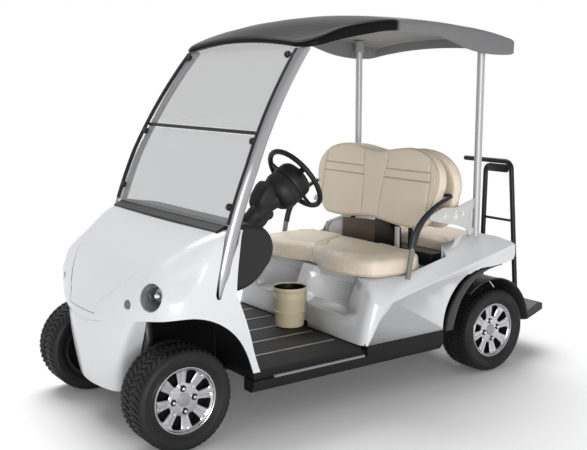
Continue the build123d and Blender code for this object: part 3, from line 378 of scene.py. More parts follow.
rimShape = {
    "spokes": 8,
    # radius, half angle of the window in degrees, height of the face, depth of the groove
    "rows": [
        (0.0270, 0, 0.0700, 0), (0.0400, 0, 0.0700, 0), (0.0580, 0, 0.0685, 0), (0.0680, 0, 0.0680, 0.0004),
        (0.0725, 5.4, 0.0680, 0.0016), (0.0750, 7.8, 0.0682, 0.0022), (0.0810, 9.2, 0.0690, 0.0026),
        (0.0950, 9.8, 0.0705, 0.0028), (0.1120, 10.4, 0.0725, 0.0028), (0.1230, 11.0, 0.0740, 0.0026),
        (0.1290, 10.2, 0.0750, 0.0020), (0.1325, 7.6, 0.0758, 0.0008), (0.1350, 0, 0.0770, 0), (0.1400, 0, 0.0800, 0),
    ],
    "thickness": 0.012,
    # radius, along
    "barrel": [
        (0.1340, 0.0750), (0.1340, 0.0300), (0.1300, 0.0100), (0.1300, -0.0700), (0.1380, -0.0880), (0.1520, -0.0890),
        (0.1520, -0.0860), (0.1490, -0.0840), (0.1490, 0.0700),
    ],
    "lip": [
        (0.1385, 0.0780), (0.1402, 0.0840), (0.1422, 0.0872), (0.1445, 0.0884), (0.1470, 0.0878), (0.1480, 0.0862),
        (0.1500, 0.0840), (0.1497, 0.0780), (0.1420, 0.0760),
    ],
    "cap": [(0.0300, 0.0660), (0.0300, 0.0715), (0.0288, 0.0733), (0.0250, 0.0745), (0.0140, 0.0753), (0, 0.0755)],
    # a black disc across the barrel behind the windows: partly the brake drum, partly painted shade
    "back": [(0.1310, 0.0240), (0.1310, 0.0180), (0, 0.0180), (0, 0.0240)],
    "hub": [(0.0550, 0.0580), (0.0550, -0.0300), (0.0180, -0.0300), (0.0180, 0.0580)],
    "lugRadius": 0.0508,
    "pocket": [(0.0158, 0.0660), (0.0158, 0.0716), (0.0150, 0.0722), (0.0142, 0.0716), (0.0142, 0.0680)],
    # the pocket's floor, painted black as shade
    "floor": [(0.0144, 0.0690), (0.0144, 0.0702), (0, 0.0702), (0, 0.0690)],
    "nut": [(0.0080, 0.0690), (0.0080, 0.0770), (0.0066, 0.0795), (0.0030, 0.0805), (0, 0.0806)],
    "grooveHalf": 0.0035, "windowSlope": 0.0028,
}


# One spoke's share of the wheel's face, with half a window at each side of the spoke.
def spokeUnit(shape):
    bm = bmesh.new()
    half = 180 / shape["spokes"]
    grid = []
    for radius, window, height, groove in shape["rows"]:
        edge = half - window if window else half * 0.8
        step = math.degrees(shape["grooveHalf"] / radius)
        angles = [0, step, min(step * 1.7, edge * 0.5), edge * 0.82, edge, half]
        slope = shape["windowSlope"] if window else 0
        drops = [groove, groove, 0, 0, slope, slope]
        row = []
        for angle, drop in [(-a, d) for a, d in zip(angles[:0:-1], drops[:0:-1])] + list(zip(angles, drops)):
            a = math.radians(angle)
            row.append(bm.verts.new((radius * math.cos(a), height - drop, radius * math.sin(a))))
        grid.append((row, window))
    for (low, lowWindow), (high, highWindow) in zip(grid, grid[1:]):
        for i in range(len(low) - 1):
            if lowWindow and highWindow and i in (0, len(low) - 2):
                continue
            bm.faces.new((low[i], low[i + 1], high[i + 1], high[i]))
    return toMesh(bm, "spokeUnit", [alloy])


# A pocket with its bright nut; the pocket's floor is painted black as shade.
def lugUnit(shape):
    bm = bmesh.new()
    lathe(bm, shape["pocket"], 24, 0)
    lathe(bm, shape["floor"], 24, 4, closed=False)
    lathe(bm, shape["nut"], 6, 3, closed=False)
    bmesh.ops.translate(bm, verts=bm.verts[:], vec=(shape["lugRadius"], 0, 0))
    return bm


def rimMesh(shape):
    face = ringOf(spokeUnit(shape), shape["spokes"], alloy)
    bm = bmesh.new()
    bm.from_mesh(face)
    bmesh.ops.recalc_face_normals(bm, faces=bm.faces[:])
    if sum(f.normal.y for f in bm.faces) < 0:
        bmesh.ops.reverse_faces(bm, faces=bm.faces[:])
    bmesh.ops.solidify(bm, geom=bm.faces[:], thickness=shape["thickness"])
    bmesh.ops.recalc_face_normals(bm, faces=bm.faces[:])
    plate = toMesh(bm, "plate", [alloy])
    bm = bmesh.new()
    lathe(bm, shape["barrel"], 96, 1)
    lathe(bm, shape["hub"], 32, 1)
    lathe(bm, shape["lip"], 120, 0)
    lathe(bm, shape["cap"], 48, 2, closed=False)
    lathe(bm, shape["back"], 48, 4, closed=False)
    turned = toMesh(bm, "turned", [alloy])
    meshes = [(plate, 0), (turned, None)]
    for quarter in range(4):
        bm = lugUnit(shape)
        bmesh.ops.rotate(bm, verts=bm.verts[:], matrix=Matrix.Rotation(quarter * math.pi / 2, 3, "Y"))
        meshes.append((toMesh(bm, "lug", [alloy]), None))
    return joined("rimMesh", meshes, [alloy, alloyDark, capGrey, chrome, shadeAndDrumBlack])


# The left wheel's mesh, turned, mirrored for the right side and put in its place.
def placedCopy(mesh, name, place, side, turn):
    bm = bmesh.new()
    bm.from_mesh(mesh)
    bmesh.ops.rotate(bm, verts=bm.verts[:], matrix=Matrix.Rotation(math.radians(turn), 3, "Y"))
    if side < 0:
        bmesh.ops.scale(bm, verts=bm.verts[:], vec=(1, -1, 1))
        bmesh.ops.reverse_faces(bm, faces=bm.faces[:])
    bmesh.ops.translate(bm, verts=bm.verts[:], vec=place)
    return toMesh(bm, name, list(mesh.materials), normals=False)


tyreSource = tyreMesh(tyreShape)
rimSource = rimMesh(rimShape)
# axle, side, and degrees that the wheel has rolled
wheelPlaces = {"fl": (frontX, 1, 4), "fr": (frontX, -1, 20), "rl": (rearX, 1, 10), "rr": (rearX, -1, 33)}
for corner, (x, side, turn) in wheelPlaces.items():
    place = (x, side * wheelY, axleZ)
    for source, kind, name, slotName, sharp in (
        (tyreSource, "tyre_", "treadTyre_", "tyre_rubber", 35), (rimSource, "rim_", "alloyRim_", "wheel_alloy", 30),
    ):
        mesh = placedCopy(source, kind + corner, place, side, turn)
        newPiece(name + corner, mesh, "wheel_" + corner, [kind + corner], sharp)
print("stage: wheels")


# cushions
farAway = 9.0  # further than anything on a pad
# painted shade: the bottoms of the seams take a darker material this wide
paintedShadeHalf = 0.0036  # half width of the darker bottom of a seam
# A point between b and c on the smooth line through a, b, c and d.
def splinePoint(a, b, c, d, t):
    return (2 * b + (c - a) * t + (2 * a - 5 * b + 4 * c - d) * t ** 2 + (3 * b - a - 3 * c + d) * t ** 3) / 2


# A closed line as even steps.
def evenLoop(points, count):
    ring = points + points[:1]
    marks = [0.0]
    for low, high in zip(ring, ring[1:]):
        marks.append(marks[-1] + (high - low).length)
    at = np.linspace(0, marks[-1], count, endpoint=False)
    along, across = ([p[k] for p in ring] for k in range(2))
    return [Vector((np.interp(s, marks, along), np.interp(s, marks, across))) for s in at]


# A closed smooth line through the points, as even steps.
def smoothLoop(points, count):
    dense = []
    for i in range(len(points)):
        a, b, c, d = (Vector(points[(i + k - 1) % len(points)]) for k in range(4))
        dense += [splinePoint(a, b, c, d, j / 16) for j in range(16)]
    return evenLoop(dense, count)


# A whole outline from the half at one side, whose ends lie on the middle line.
def mirrored(half):
    return half + [(-u, v) for u, v in reversed(half[1:-1])]


def insetLoop(loop, depth):
    out = []
    area = sum(a.x * b.y - b.x * a.y for a, b in zip(loop, loop[1:] + loop[:1]))
    turn = 1 if area > 0 else -1
    for i, point in enumerate(loop):
        along = (loop[(i + 1) % len(loop)] - loop[i - 1]).normalized()
        out.append(point + turn * depth * Vector((-along.y, along.x)))
    return out


# A closed shell from one outline, drawn in by each ring's depth.
def padMesh(outline, rings):
    bm = bmesh.new()
    loops = []
    for depth, height in rings:
        loops.append([bm.verts.new((p.x, p.y, height)) for p in insetLoop(outline, depth)])
    skin(bm, loops)
    return toMesh(bm, "padMesh", [beige])


# One value of every vertex, as rows of three.
def perVertex(mesh, value):
    flat = np.empty(len(mesh.vertices) * 3)
    mesh.vertices.foreach_get(value, flat)
    return flat.reshape(-1, 3)


# How far each point lies from the nearest of the lines, all in the flat of the pad.
def lineDistance(points, lines):
    best = np.full(len(points), farAway)
    for line in lines:
        line = np.array(line)
        for a, b in zip(line, line[1:]):
            along = b - a
            t = np.clip((points - a) @ along / (along @ along), 0, 1)
            best = np.minimum(best, np.linalg.norm(points - (a + t[:, None] * along), axis=1))
    return best


# The shell filled with foam: remeshed, blown up against its seams, then smoothed.
def stuffed(name, mesh, shape):
    pad = bpy.data.objects.new(name, mesh)
    scene.collection.objects.link(pad)
    remesh = pad.modifiers.new("remesh", "REMESH")
    remesh.mode = "VOXEL"
    remesh.voxel_size = shape["voxel"]
    pad.data = applied(pad)
    start = perVertex(pad.data, "co")
    held = start[:, 2] < shape["flatBelow"]
    held |= (lineDistance(start[:, :2], shape["seams"]) < shape["voxel"] * 0.8) & (start[:, 2] > shape["seamsAbove"])
    pins = pad.vertex_groups.new(name="held")
    pins.add([int(i) for i in np.nonzero(held)[0]], 1.0, "REPLACE")
    cloth = pad.modifiers.new("cloth", "CLOTH")
    cloth.settings.use_pressure = True
    cloth.settings.uniform_pressure_force = shape["pressure"]
    cloth.settings.effector_weights.gravity = 0
    cloth.settings.vertex_group_mass = "held"
    cloth.point_cache.frame_end = 20
    for step in range(1, 21):
        scene.frame_set(step)
    mesh = applied(pad)
    moved = perVertex(mesh, "co") - start
    far = np.linalg.norm(moved, axis=1)
    moved *= np.minimum(1, shape["cap"] / np.maximum(far, 1e-9))[:, None]
    mesh.vertices.foreach_set("co", (start + moved).ravel())
    pad.data = mesh
    scene.frame_set(1)
    pad.vertex_groups.clear()
    smooth = pad.modifiers.new("smooth", "SUBSURF")
    smooth.levels = smooth.render_levels = 1
    pad.data = applied(pad)
    return pad


# Narrow channels pressed in along the seams, where the mesh is first made finer. Their bottoms are given painted shade,
# a darker beige.
def sewn(mesh, shape):
    bm = bmesh.new()
    bm.from_mesh(mesh)
    bm.verts.ensure_lookup_table()
    spots = np.array([v.co for v in bm.verts])
    near = (lineDistance(spots[:, :2], shape["seams"]) < 0.012) & (spots[:, 2] > shape["seamsAbove"])
    edges = [e for e in bm.edges if near[e.verts[0].index] and near[e.verts[1].index]]
    bmesh.ops.subdivide_edges(bm, edges=edges, cuts=1, use_grid_fill=True)
    bm.to_mesh(mesh)
    bm.free()
    spots = perVertex(mesh, "co")
    away = lineDistance(spots[:, :2], shape["seams"])
    upper = spots[:, 2] > shape["seamsAbove"]
    press = shape["channel"] * np.exp(-((away / shape["channelWidth"]) ** 2)) * upper
    spots -= press[:, None] * perVertex(mesh, "normal")
    mesh.vertices.foreach_set("co", spots.ravel())
    # painted shade: the faces at the bottom of a seam take the darker material
    mesh.materials.append(paintedSeamShade)
    depth = np.where(press > 0, away, farAway)
    for polygon in mesh.polygons:
        if max(depth[i] for i in polygon.vertices) < paintedShadeHalf:
            polygon.material_index = 1


# The round cord sewn in along an edge.
def pipingMesh(loop, height, radius):
    bm = bmesh.new()
    rings = []
    for i, point in enumerate(loop):
        along = (loop[(i + 1) % len(loop)] - loop[i - 1]).normalized()
        out = Vector((along.y, -along.x, 0))
        middle = Vector((point.x, point.y, height))
        turns = [2 * math.pi * k / 8 for k in range(8)]
        ways = [math.cos(a) * out + math.sin(a) * Vector((0, 0, 1)) for a in turns]
        rings.append([bm.verts.new(middle + radius * way) for way in ways])
    skin(bm, rings, looped=True)
    return toMesh(bm, "piping", [pipingBeige])


def makePad(name, node, shape):
    outline = smoothLoop(shape["outline"], 240)
    pad = stuffed(name, padMesh(outline, shape["rings"]), shape)
    if shape["seams"]:
        sewn(pad.data, shape)
    pad.data.transform(shape["frame"])
    pad.data.shade_smooth()
    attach(pad, "body")
    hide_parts(node)
    depth, height = shape["piping"]
    cord = pipingMesh(insetLoop(outline, depth), height, shape["pipingRadius"])
    cord.transform(shape["frame"])
    newPiece(name + "Piping", cord, "body")
    print("stage:", name, len(pad.data.polygons))


# Across, up the back and out of its face, as the columns of a matrix.
def backFrame(foot, lean, facing=1):
    s, c = math.sin(math.radians(lean)), math.cos(math.radians(lean))
    return Matrix(((0, -s, facing * c, foot[0]), (facing, 0, 0, foot[1]), (0, c, facing * s, foot[2]), (0, 0, 0, 1)))


def bothSides(lines):
    return lines + [[(-u, v) for u, v in line] for line in lines]


backOutline = mirrored([
    (0, 0.022), (0.100, 0.014), (0.200, 0.004), (0.300, 0.000), (0.385, 0.006), (0.440, 0.045), (0.472, 0.100),
    (0.498, 0.170), (0.520, 0.245), (0.508, 0.320), (0.460, 0.382), (0.380, 0.424), (0.280, 0.442), (0.190, 0.438),
    (0.100, 0.424), (0, 0.413),
])
backRings = [
    (0.030, -0.040), (0.016, -0.036), (0.009, -0.024), (0.008, 0.000), (0.009, 0.020), (0.013, 0.030), (0.026, 0.035),
]
frontBack = {
    "outline": backOutline,
    "rings": backRings,
    "frame": backFrame((rearX + 0.386, 0, 0.790), 8.4),
    "voxel": 0.0068, "pressure": 5, "cap": 0.012, "flatBelow": -0.034, "seamsAbove": 0.015,
    "channel": 0.0045, "channelWidth": 0.0036,
    "piping": (0.0155, 0.0335), "pipingRadius": 0.003,
    "seams": bothSides([
        [(0.100, 0.415), (0.098, 0.320), (0.084, 0.263), (0.075, 0.160), (0.070, 0.035)],
        [(0.428, 0.400), (0.440, 0.346), (0.450, 0.266), (0.448, 0.193), (0.446, 0.090)],
        [(0.096, 0.310), (0.444, 0.312)],
        [(0.084, 0.262), (0.450, 0.262)],
    ]) + [[tuple(p) for p in insetLoop(smoothLoop(backOutline, 240), 0.0135)]],
}
rearBack = dict(frontBack, rings=[(d, h * 0.76) for d, h in backRings], flatBelow=-0.026, piping=(0.0155, 0.0255))
rearBack["frame"] = backFrame((rearX + 0.2068, 0, 0.780), -5, -1)
rearBack["seamsAbove"] = 0.011
seatHalf = [
    (0, 0.0515), (0.052, 0.060), (0.104, 0.084), (0.190, 0.112), (0.286, 0.115), (0.370, 0.098), (0.442, 0.070),
    (0.496, 0.025), (0.515, -0.050), (0.518, -0.150), (0.516, -0.235), (0.488, -0.292), (0.440, -0.326),
    (0.300, -0.333), (0.150, -0.334), (0, -0.334),
]
seatOutline = [(v, u) for u, v in mirrored(seatHalf)]
frontSeat = {
    "outline": seatOutline,
    "rings": [
        (0.020, 0.6032), (0.008, 0.612), (0.004, 0.632), (0.003, 0.655), (0.006, 0.676), (0.016, 0.690), (0.034, 0.697),
    ],
    "frame": Matrix.Identity(4),
    "voxel": 0.0075, "pressure": 5, "cap": 0.010, "flatBelow": 0.612, "seamsAbove": 0.640,
    "channel": 0.0042, "channelWidth": 0.0040,
    "piping": (0.0060, 0.6130), "pipingRadius": 0.003,
    "seams": [
        [(0.060, 0), (-0.060, 0)],
        [(-0.060, 0), (-0.150, 0.100), (-0.270, 0.150), (-0.330, 0.155)],
        [(-0.060, 0), (-0.150, -0.100), (-0.270, -0.150), (-0.330, -0.155)],
    ],
}
rearHalf = [
    (0, -0.5375), (0.150, -0.5370), (0.300, -0.5380), (0.420, -0.5420), (0.457, -0.5650), (0.466, -0.620),
    (0.467, -0.7325),
    (0.466, -0.845), (0.457, -0.900), (0.420, -0.922), (0.300, -0.9265), (0.150, -0.9270), (0, -0.9270),
]
rearSeat = dict(frontSeat, outline=[(v, u) for u, v in mirrored(rearHalf)], flatBelow=0.640, seamsAbove=0.660)
rearSeat["rings"] = [(d, h + 0.030 - max(0, h - 0.66) * 0.15) for d, h in frontSeat["rings"]]
rearSeat["seams"] = [[(-0.535, 0), (-0.930, 0)]]
rearSeat["piping"] = (0.0060, 0.6430)
for name, node, shape in (
    ("frontBackPad", "front_backrest", frontBack), ("rearBackPad", "rear_backrest", rearBack),
    ("frontSeatPad", "front_cushion", frontSeat), ("rearSeatPad", "rear_cushion", rearSeat),
):
    makePad(name, node, shape)


# fittings
# A closed bar along a path; sizes are its half width along side and its half depth at each point.
def sweepMesh(path, sizes, side, mat, segments=20, power=2.0):
    bm = bmesh.new()
    rings = []
    for i, point in enumerate(path):
        along = (path[min(i + 1, len(path) - 1)] - path[max(i - 1, 0)]).normalized()
        across = (side - along * side.dot(along)).normalized()
        deep = along.cross(across)
        wide, thick = sizes[i]
        ring = []
        for k in range(segments):
            a = 2 * math.pi * k / segments
            c, s = math.cos(a), math.sin(a)
            c = math.copysign(abs(c) ** (2 / power), c)
            s = math.copysign(abs(s) ** (2 / power), s)
            ring.append(bm.verts.new(point + across * wide * c + deep * thick * s))
        rings.append(ring)
    skin(bm, rings)
    return toMesh(bm, "sweep", [mat])


# An open smooth line through the points.
def smoothPath(points, count):
    ends = [points[0]] + list(points) + [points[-1]]
    dense = []
    for i in range(1, len(ends) - 2):
        a, b, c, d = (Vector(ends[i + k]) for k in (-1, 0, 1, 2))
        dense += [splinePoint(a, b, c, d, j / count) for j in range(count)]
    return dense + [Vector(points[-1])]


# A profile of (radius, along), turned round an axis from a place.
def turnedMesh(profile, segments, place, axis, mat):
    bm = bmesh.new()
    lathe(bm, profile, segments, closed=profile[0][0] > 1e-6 and profile[-1][0] > 1e-6)
    turn = Vector((0, 1, 0)).rotation_difference(Vector(axis)).to_matrix().to_4x4()
    bmesh.ops.transform(bm, matrix=Matrix.Translation(place) @ turn, verts=bm.verts[:])
    return toMesh(bm, "turned", [mat])


# A flat plate of one outline between two depths; placed says where (u, v, depth) lies.
def prismMesh(outline, low, high, placed, mat, bevel=0.0):
    bm = bmesh.new()
    faces = []
    for depth in (low, high):
        faces.append(bm.faces.new([bm.verts.new(placed(u, v, depth)) for u, v in outline]))
    bm.verts.ensure_lookup_table()
    n = len(outline)
    for i in range(n):
        j = (i + 1) % n
        bm.faces.new((bm.verts[i], bm.verts[j], bm.verts[n + j], bm.verts[n + i]))
    bmesh.ops.recalc_face_normals(bm, faces=bm.faces[:])
    if bevel:
        edges = [e for f in faces for e in f.edges]
        bmesh.ops.bevel(bm, geom=edges, offset=bevel, segments=2, profile=0.5, affect="EDGES")
    return toMesh(bm, "prism", [mat])


# Places for plates seen from the side, from the front, and lying flat.
def sideOn(u, v, depth):
    return u, depth, v


def behindSide(u, v, depth):
    return rearX + u, depth, v


def frontOn(u, v, depth):
    return depth, u, v


def lyingFlat(u, v, depth):
    return u, v, depth


def flipped(mesh):
    bm = bmesh.new()
    bm.from_mesh(mesh)
    bmesh.ops.scale(bm, verts=bm.verts[:], vec=(1, -1, 1))
    bmesh.ops.reverse_faces(bm, faces=bm.faces[:])
    return toMesh(bm, "flipped", list(mesh.materials), normals=False)


# Meshes of one material as one piece, at both sides if twin is set.
def addPiece(name, meshes, replaced=(), body="body", sharp=35, twin=True):
    if twin:
        meshes = meshes + [flipped(m) for m in meshes]
    mesh = joined(name, [(m, None) for m in meshes], list(meshes[0].materials))
    newPiece(name, mesh, body, replaced, sharp)


# A node's mesh in place, its doubles merged.
def mergedCopy(node):
    bm = bmesh.new()
    bm.from_mesh(nodes[node].data)
    bm.transform(nodes[node].matrix_world)
    bmesh.ops.remove_doubles(bm, verts=bm.verts[:], dist=0.00001)
    return bm


# nose: a shallow hollow behind each headlamp
noseHollow = {
    "middle": (1.128, 0.757), "angle": math.radians(135), "long": 0.088, "wide": 0.047, "depth": 0.026,
    "inward": (-0.25, 1, -0.25),
    "from": 0.30,  # only surface further out than this is pressed in
    "step": 0.010,  # longest edge after the mesh is made finer
    "reach": 2.4,  # how far out the mesh is made finer, in half widths
}


# A copy of a node's mesh, made finer and pressed in behind the lamps at both sides.
def hollowed(node, shape):
    bm = mergedCopy(node)
    c, s = math.cos(shape["angle"]), math.sin(shape["angle"])

    # Distance from the hollow's middle, in its own half widths.
    def far(co):
        if abs(co.y) <= shape["from"]:
            return 9
        dx, dz = co.x - shape["middle"][0], co.z - shape["middle"][1]
        return math.hypot((dx * c + dz * s) / shape["long"], (dz * c - dx * s) / shape["wide"])

    def near(edge):
        a, b = (v.co for v in edge.verts)
        return min(far(a), far(b), far((a + b) / 2)) < shape["reach"]

    for turn in range(7):
        edges = [e for e in bm.edges if e.calc_length() > shape["step"] and near(e)]
        if not edges:
            break
        bmesh.ops.subdivide_edges(bm, edges=edges, cuts=1)
        bmesh.ops.triangulate(bm, faces=[f for f in bm.faces if len(f.verts) > 3])
    ahead, across, up = shape["inward"]
    for vert in bm.verts:
        press = shape["depth"] * math.exp(-far(vert.co) ** 2)
        vert.co += Vector((ahead, -math.copysign(across, vert.co.y), up)).normalized() * press
    return toMesh(bm, "hollowed", [bodyWhite], normals=False)


newPiece("frontShell", hollowed("front_body", noseHollow), "body", ["front_body"], 30)

# rear of the shell: the side ends in a wing above the wheel
shellCuts = {
    "wing": [
        (-1.3, 0.05), (rearX + 0.092, 0.05), (rearX + 0.092, 0.592), (rearX + 0.013, 0.594), (rearX - 0.066, 0.600),
        (rearX - 0.128, 0.614), (rearX - 0.140, 0.640), (rearX - 0.137, 0.690), (rearX - 0.120, 0.80), (-1.3, 0.80),
    ],
    "tub": [(-1.3, 0.05), (rearX + 0.070, 0.05), (rearX + 0.070, 0.80), (-1.3, 0.80)],
    "half": 0.7,
}


# A copy of a node's mesh, less what lies inside the outline seen from the side.
def cutCopy(name, node, outline, mat):
    shell = bpy.data.objects.new(name, toMesh(mergedCopy(node), name, [mat], normals=False))
    scene.collection.objects.link(shell)
    half = shellCuts["half"]
    tool = bpy.data.objects.new("tool", prismMesh(outline, -half, half, sideOn, mat))
    scene.collection.objects.link(tool)
    cut = shell.modifiers.new("cut", "BOOLEAN")
    cut.operation = "DIFFERENCE"
    cut.object = tool
    cut.solver = "EXACT"
    mesh = applied(shell)
    bpy.data.objects.remove(tool)
    bpy.data.objects.remove(shell)
    mesh.materials.clear()
    mesh.materials.append(mat)
    for polygon in mesh.polygons:
        polygon.material_index = 0
    return mesh


for name, node, outline, mat, slotName in (
    ("podShell", "seat_pod", shellCuts["wing"], bodyWhite, "body_white"),
    ("liners", "wheel_liners", shellCuts["tub"], linerBlack, "liner_black"),
):
    newPiece(name, cutCopy(name, node, outline, mat), "body", [node], 30)
print("stage: shell")

# rear arches: the crescent ahead of the wheel, the thin fender behind it, and the wall inside
archShape = {
    # behind or ahead of the rear axle, and height
    "outer": [
        (-0.045, 0.5935), (0.020, 0.5925), (0.090, 0.586), (0.166, 0.568), (0.239, 0.528), (0.310, 0.447),
        (0.351, 0.371),
        (0.371, 0.286),
    ],
    "inner": [
        (0.322, 0.286), (0.306, 0.340), (0.272, 0.425), (0.223, 0.488), (0.150, 0.545), (0.074, 0.574),
        (0.010, 0.586),
    ],
    "crescentAcross": (0.568, 0.5885),
    "fenderMiddle": (0.016, 0.235), "fenderRadius": 0.279, "fenderFrom": 52, "fenderTo": 176, "flare": 0.010,
    # across, and how far outside the radius
    "fenderSection": [
        (0.392, 0), (0.560, 0), (0.580, 0.001), (0.585, 0.004), (0.585, 0.009), (0.578, 0.010), (0.560, 0.006),
        (0.392, 0.006),
    ],
    "wallRadii": (0.284, 0.150), "wallFrom": 16, "wallTo": 176, "wallAcross": (0.371, 0.378),
}


def archMeshes(shape):
    edge = []
    for line in (shape["outer"], shape["inner"]):
        edge += [(p.x, p.y) for p in smoothPath([Vector(q) for q in line], 8)]
    crescent = prismMesh(edge, *shape["crescentAcross"], behindSide, trimDark, 0.003)
    middleX, middleZ = shape["fenderMiddle"]
    bm = bmesh.new()
    rows = []
    for k in range(49):
        a = math.radians(shape["fenderFrom"] + (shape["fenderTo"] - shape["fenderFrom"]) * k / 48)
        flare = shape["flare"] * max(0, (k - 38) / 10) ** 2
        row = []
        for y, out in shape["fenderSection"]:
            r = shape["fenderRadius"] + out + flare
            row.append(bm.verts.new((rearX + middleX + r * math.cos(a), y, middleZ + r * math.sin(a))))
        rows.append(row)
    skin(bm, rows)
    fender = toMesh(bm, "fender", [trimDark])
    span = shape["wallTo"] - shape["wallFrom"]
    arc = [math.radians(shape["wallFrom"] + span * k / 40) for k in range(41)]
    outer, inner = shape["wallRadii"]
    sector = []
    for r, turns in ((outer, arc), (inner, arc[::-1])):
        sector += [(middleX + r * math.cos(a), middleZ + r * math.sin(a)) for a in turns]
    wall = prismMesh(sector, *shape["wallAcross"], behindSide, linerBlack)
    return crescent, fender, wall


crescent, fender, wall = archMeshes(archShape)
addPiece("rearArches", [crescent, fender], ["rear_arch_trims"])
addPiece("fenderWalls", [wall])

# roof
roofShape = {
    "front": 0.5065, "rear": -0.8755, "half": 0.578, "frontCorner": 0.110, "rearCorner": 0.048, "crown": 0.045,
    "thick": 0.014, "steps": 320,
    # along the cart, lower and upper edge of the side band
    "edges": [
        (-0.880, 1.716, 1.782), (-0.800, 1.710, 1.800), (-0.685, 1.711, 1.822), (-0.573, 1.724, 1.837),
        (-0.482, 1.744, 1.845), (-0.341, 1.786, 1.857), (-0.172, 1.811, 1.864), (0.020, 1.808, 1.860),
        (0.142, 1.791, 1.847), (0.289, 1.765, 1.821), (0.400, 1.739, 1.784), (0.460, 1.725, 1.758),
        (0.510, 1.713, 1.736),
    ],
    "inset": 0.030,  # from the plan's edge to the flat of the top
    "underScales": (0.02, 0.2, 0.4, 0.6, 0.75, 0.88, 0.96),
    "topScales": (0.96, 0.9, 0.8, 0.65, 0.5, 0.35, 0.2, 0.08, 0.02),
    # inset and height above the band's lower edge
    "lip": [(0.024, 0.006), (0.020, 0.001), (0.012, 0.0), (0.004, 0.002), (0.001, 0.007)],
    # inset and depth below the top
    "shoulder": [(0.000, 0.016), (0.002, 0.008), (0.007, 0.003)],
}


# Middle and radius of the arc through three points.
def arcThrough(a, b, c):
    d = 2 * (a[0] * (b[1] - c[1]) + b[0] * (c[1] - a[1]) + c[0] * (a[1] - b[1]))
    squares = [p[0] ** 2 + p[1] ** 2 for p in (a, b, c)]
    x = (squares[0] * (b[1] - c[1]) + squares[1] * (c[1] - a[1]) + squares[2] * (a[1] - b[1])) / d
    z = (squares[0] * (c[0] - b[0]) + squares[1] * (a[0] - c[0]) + squares[2] * (b[0] - a[0])) / d
    return x, z, math.hypot(a[0] - x, a[1] - z)


def roofMesh(shape):
    half = shape["half"]
    line = smoothPath([Vector(p) for p in shape["edges"]], 10)
    places, lows, highs = ([p[k] for p in line] for k in range(3))

    def top(x, y):
        return float(np.interp(x, places, highs)) + shape["crown"] * (1 - min(1, abs(y) / half) ** 2)

    def band(p):
        return float(np.interp(p.x, places, highs) - np.interp(p.x, places, lows))

    middle = ((shape["front"] + shape["rear"]) / 2, 0)
    long = (shape["front"] - shape["rear"]) / 2
    plan = []
    for sx, sy, start in ((1, 1, 0), (-1, 1, 90), (-1, -1, 180), (1, -1, 270)):
        corner = shape["frontCorner"] if sx > 0 else shape["rearCorner"]
        cornerX, cornerY = middle[0] + sx * (long - corner), sy * (half - corner)
        for k in range(15):
            a = math.radians(start + 90 * k / 14)
            plan.append(Vector((cornerX + corner * math.cos(a), cornerY + corner * math.sin(a))))
    plan = evenLoop(plan, shape["steps"])
    bm = bmesh.new()
    rings = []

    def ring(scale, depth, height):
        row = []
        for p, q in zip(plan, insetLoop(plan, depth)):
            spot = Vector(middle) + (q - Vector(middle)) * scale
            row.append(bm.verts.new((spot.x, spot.y, height(spot, p))))
        rings.append(row)

    inset, thick = shape["inset"], shape["thick"]
    for scale in shape["underScales"]:
        sag = thick + 0.010 * min(1, 4 * (1 - scale))
        ring(scale, inset, lambda s, p: top(s.x, s.y) - sag)
    ring(1, inset, lambda s, p: top(p.x, p.y) - thick - 0.004)
    for depth, above in shape["lip"]:
        ring(1, depth, lambda s, p: top(p.x, p.y) - band(p) + above)
    for depth, below in shape["shoulder"]:
        ring(1, depth, lambda s, p: top(p.x, p.y) - below)
    ring(1, 0.016, lambda s, p: top(s.x, s.y) - 0.0008)
    ring(1, inset, lambda s, p: top(s.x, s.y))
    for scale in shape["topScales"]:
        ring(scale, inset, lambda s, p: top(s.x, s.y))
    skin(bm, rings)
    mesh = toMesh(bm, "roof", [roofDark, roofUnder])
    ceiling = shape["steps"] * (len(shape["underScales"]) + 1)
    for polygon in mesh.polygons:
        if polygon.normal.z < -0.3 and polygon.index < ceiling or polygon.index == len(mesh.polygons) - 2:
            polygon.material_index = 1
    return mesh


newPiece("roofShell", roofMesh(roofShape), "body", ["roof"], 40)
print("stage: roof")

# windshield pillars
pillarShape = {
    "foot": (0.9655, 0.575, 0.645), "middle": (0.7875, 0.565, 1.200), "top": (0.4640, 0.500, 1.724),
    "overrun": 1.012,  # the top end goes on into the roof's lip
    "deep": 0.0295, "wide": 0.0195,
    "tip": 0.644, "tipLength": 0.115,
    "sealFrom": 0.94, "sealOut": 0.0245, "sealIn": 0.007, "sealHalf": (0.0125, 0.0075),
}


# How far out the pillar stands at a height.
def pillarWay(z):
    foot, middle, top = (pillarShape[k] for k in ("foot", "middle", "top"))
    return float(np.interp(z, (foot[2], middle[2], top[2]), (foot[1], middle[1], top[1])))


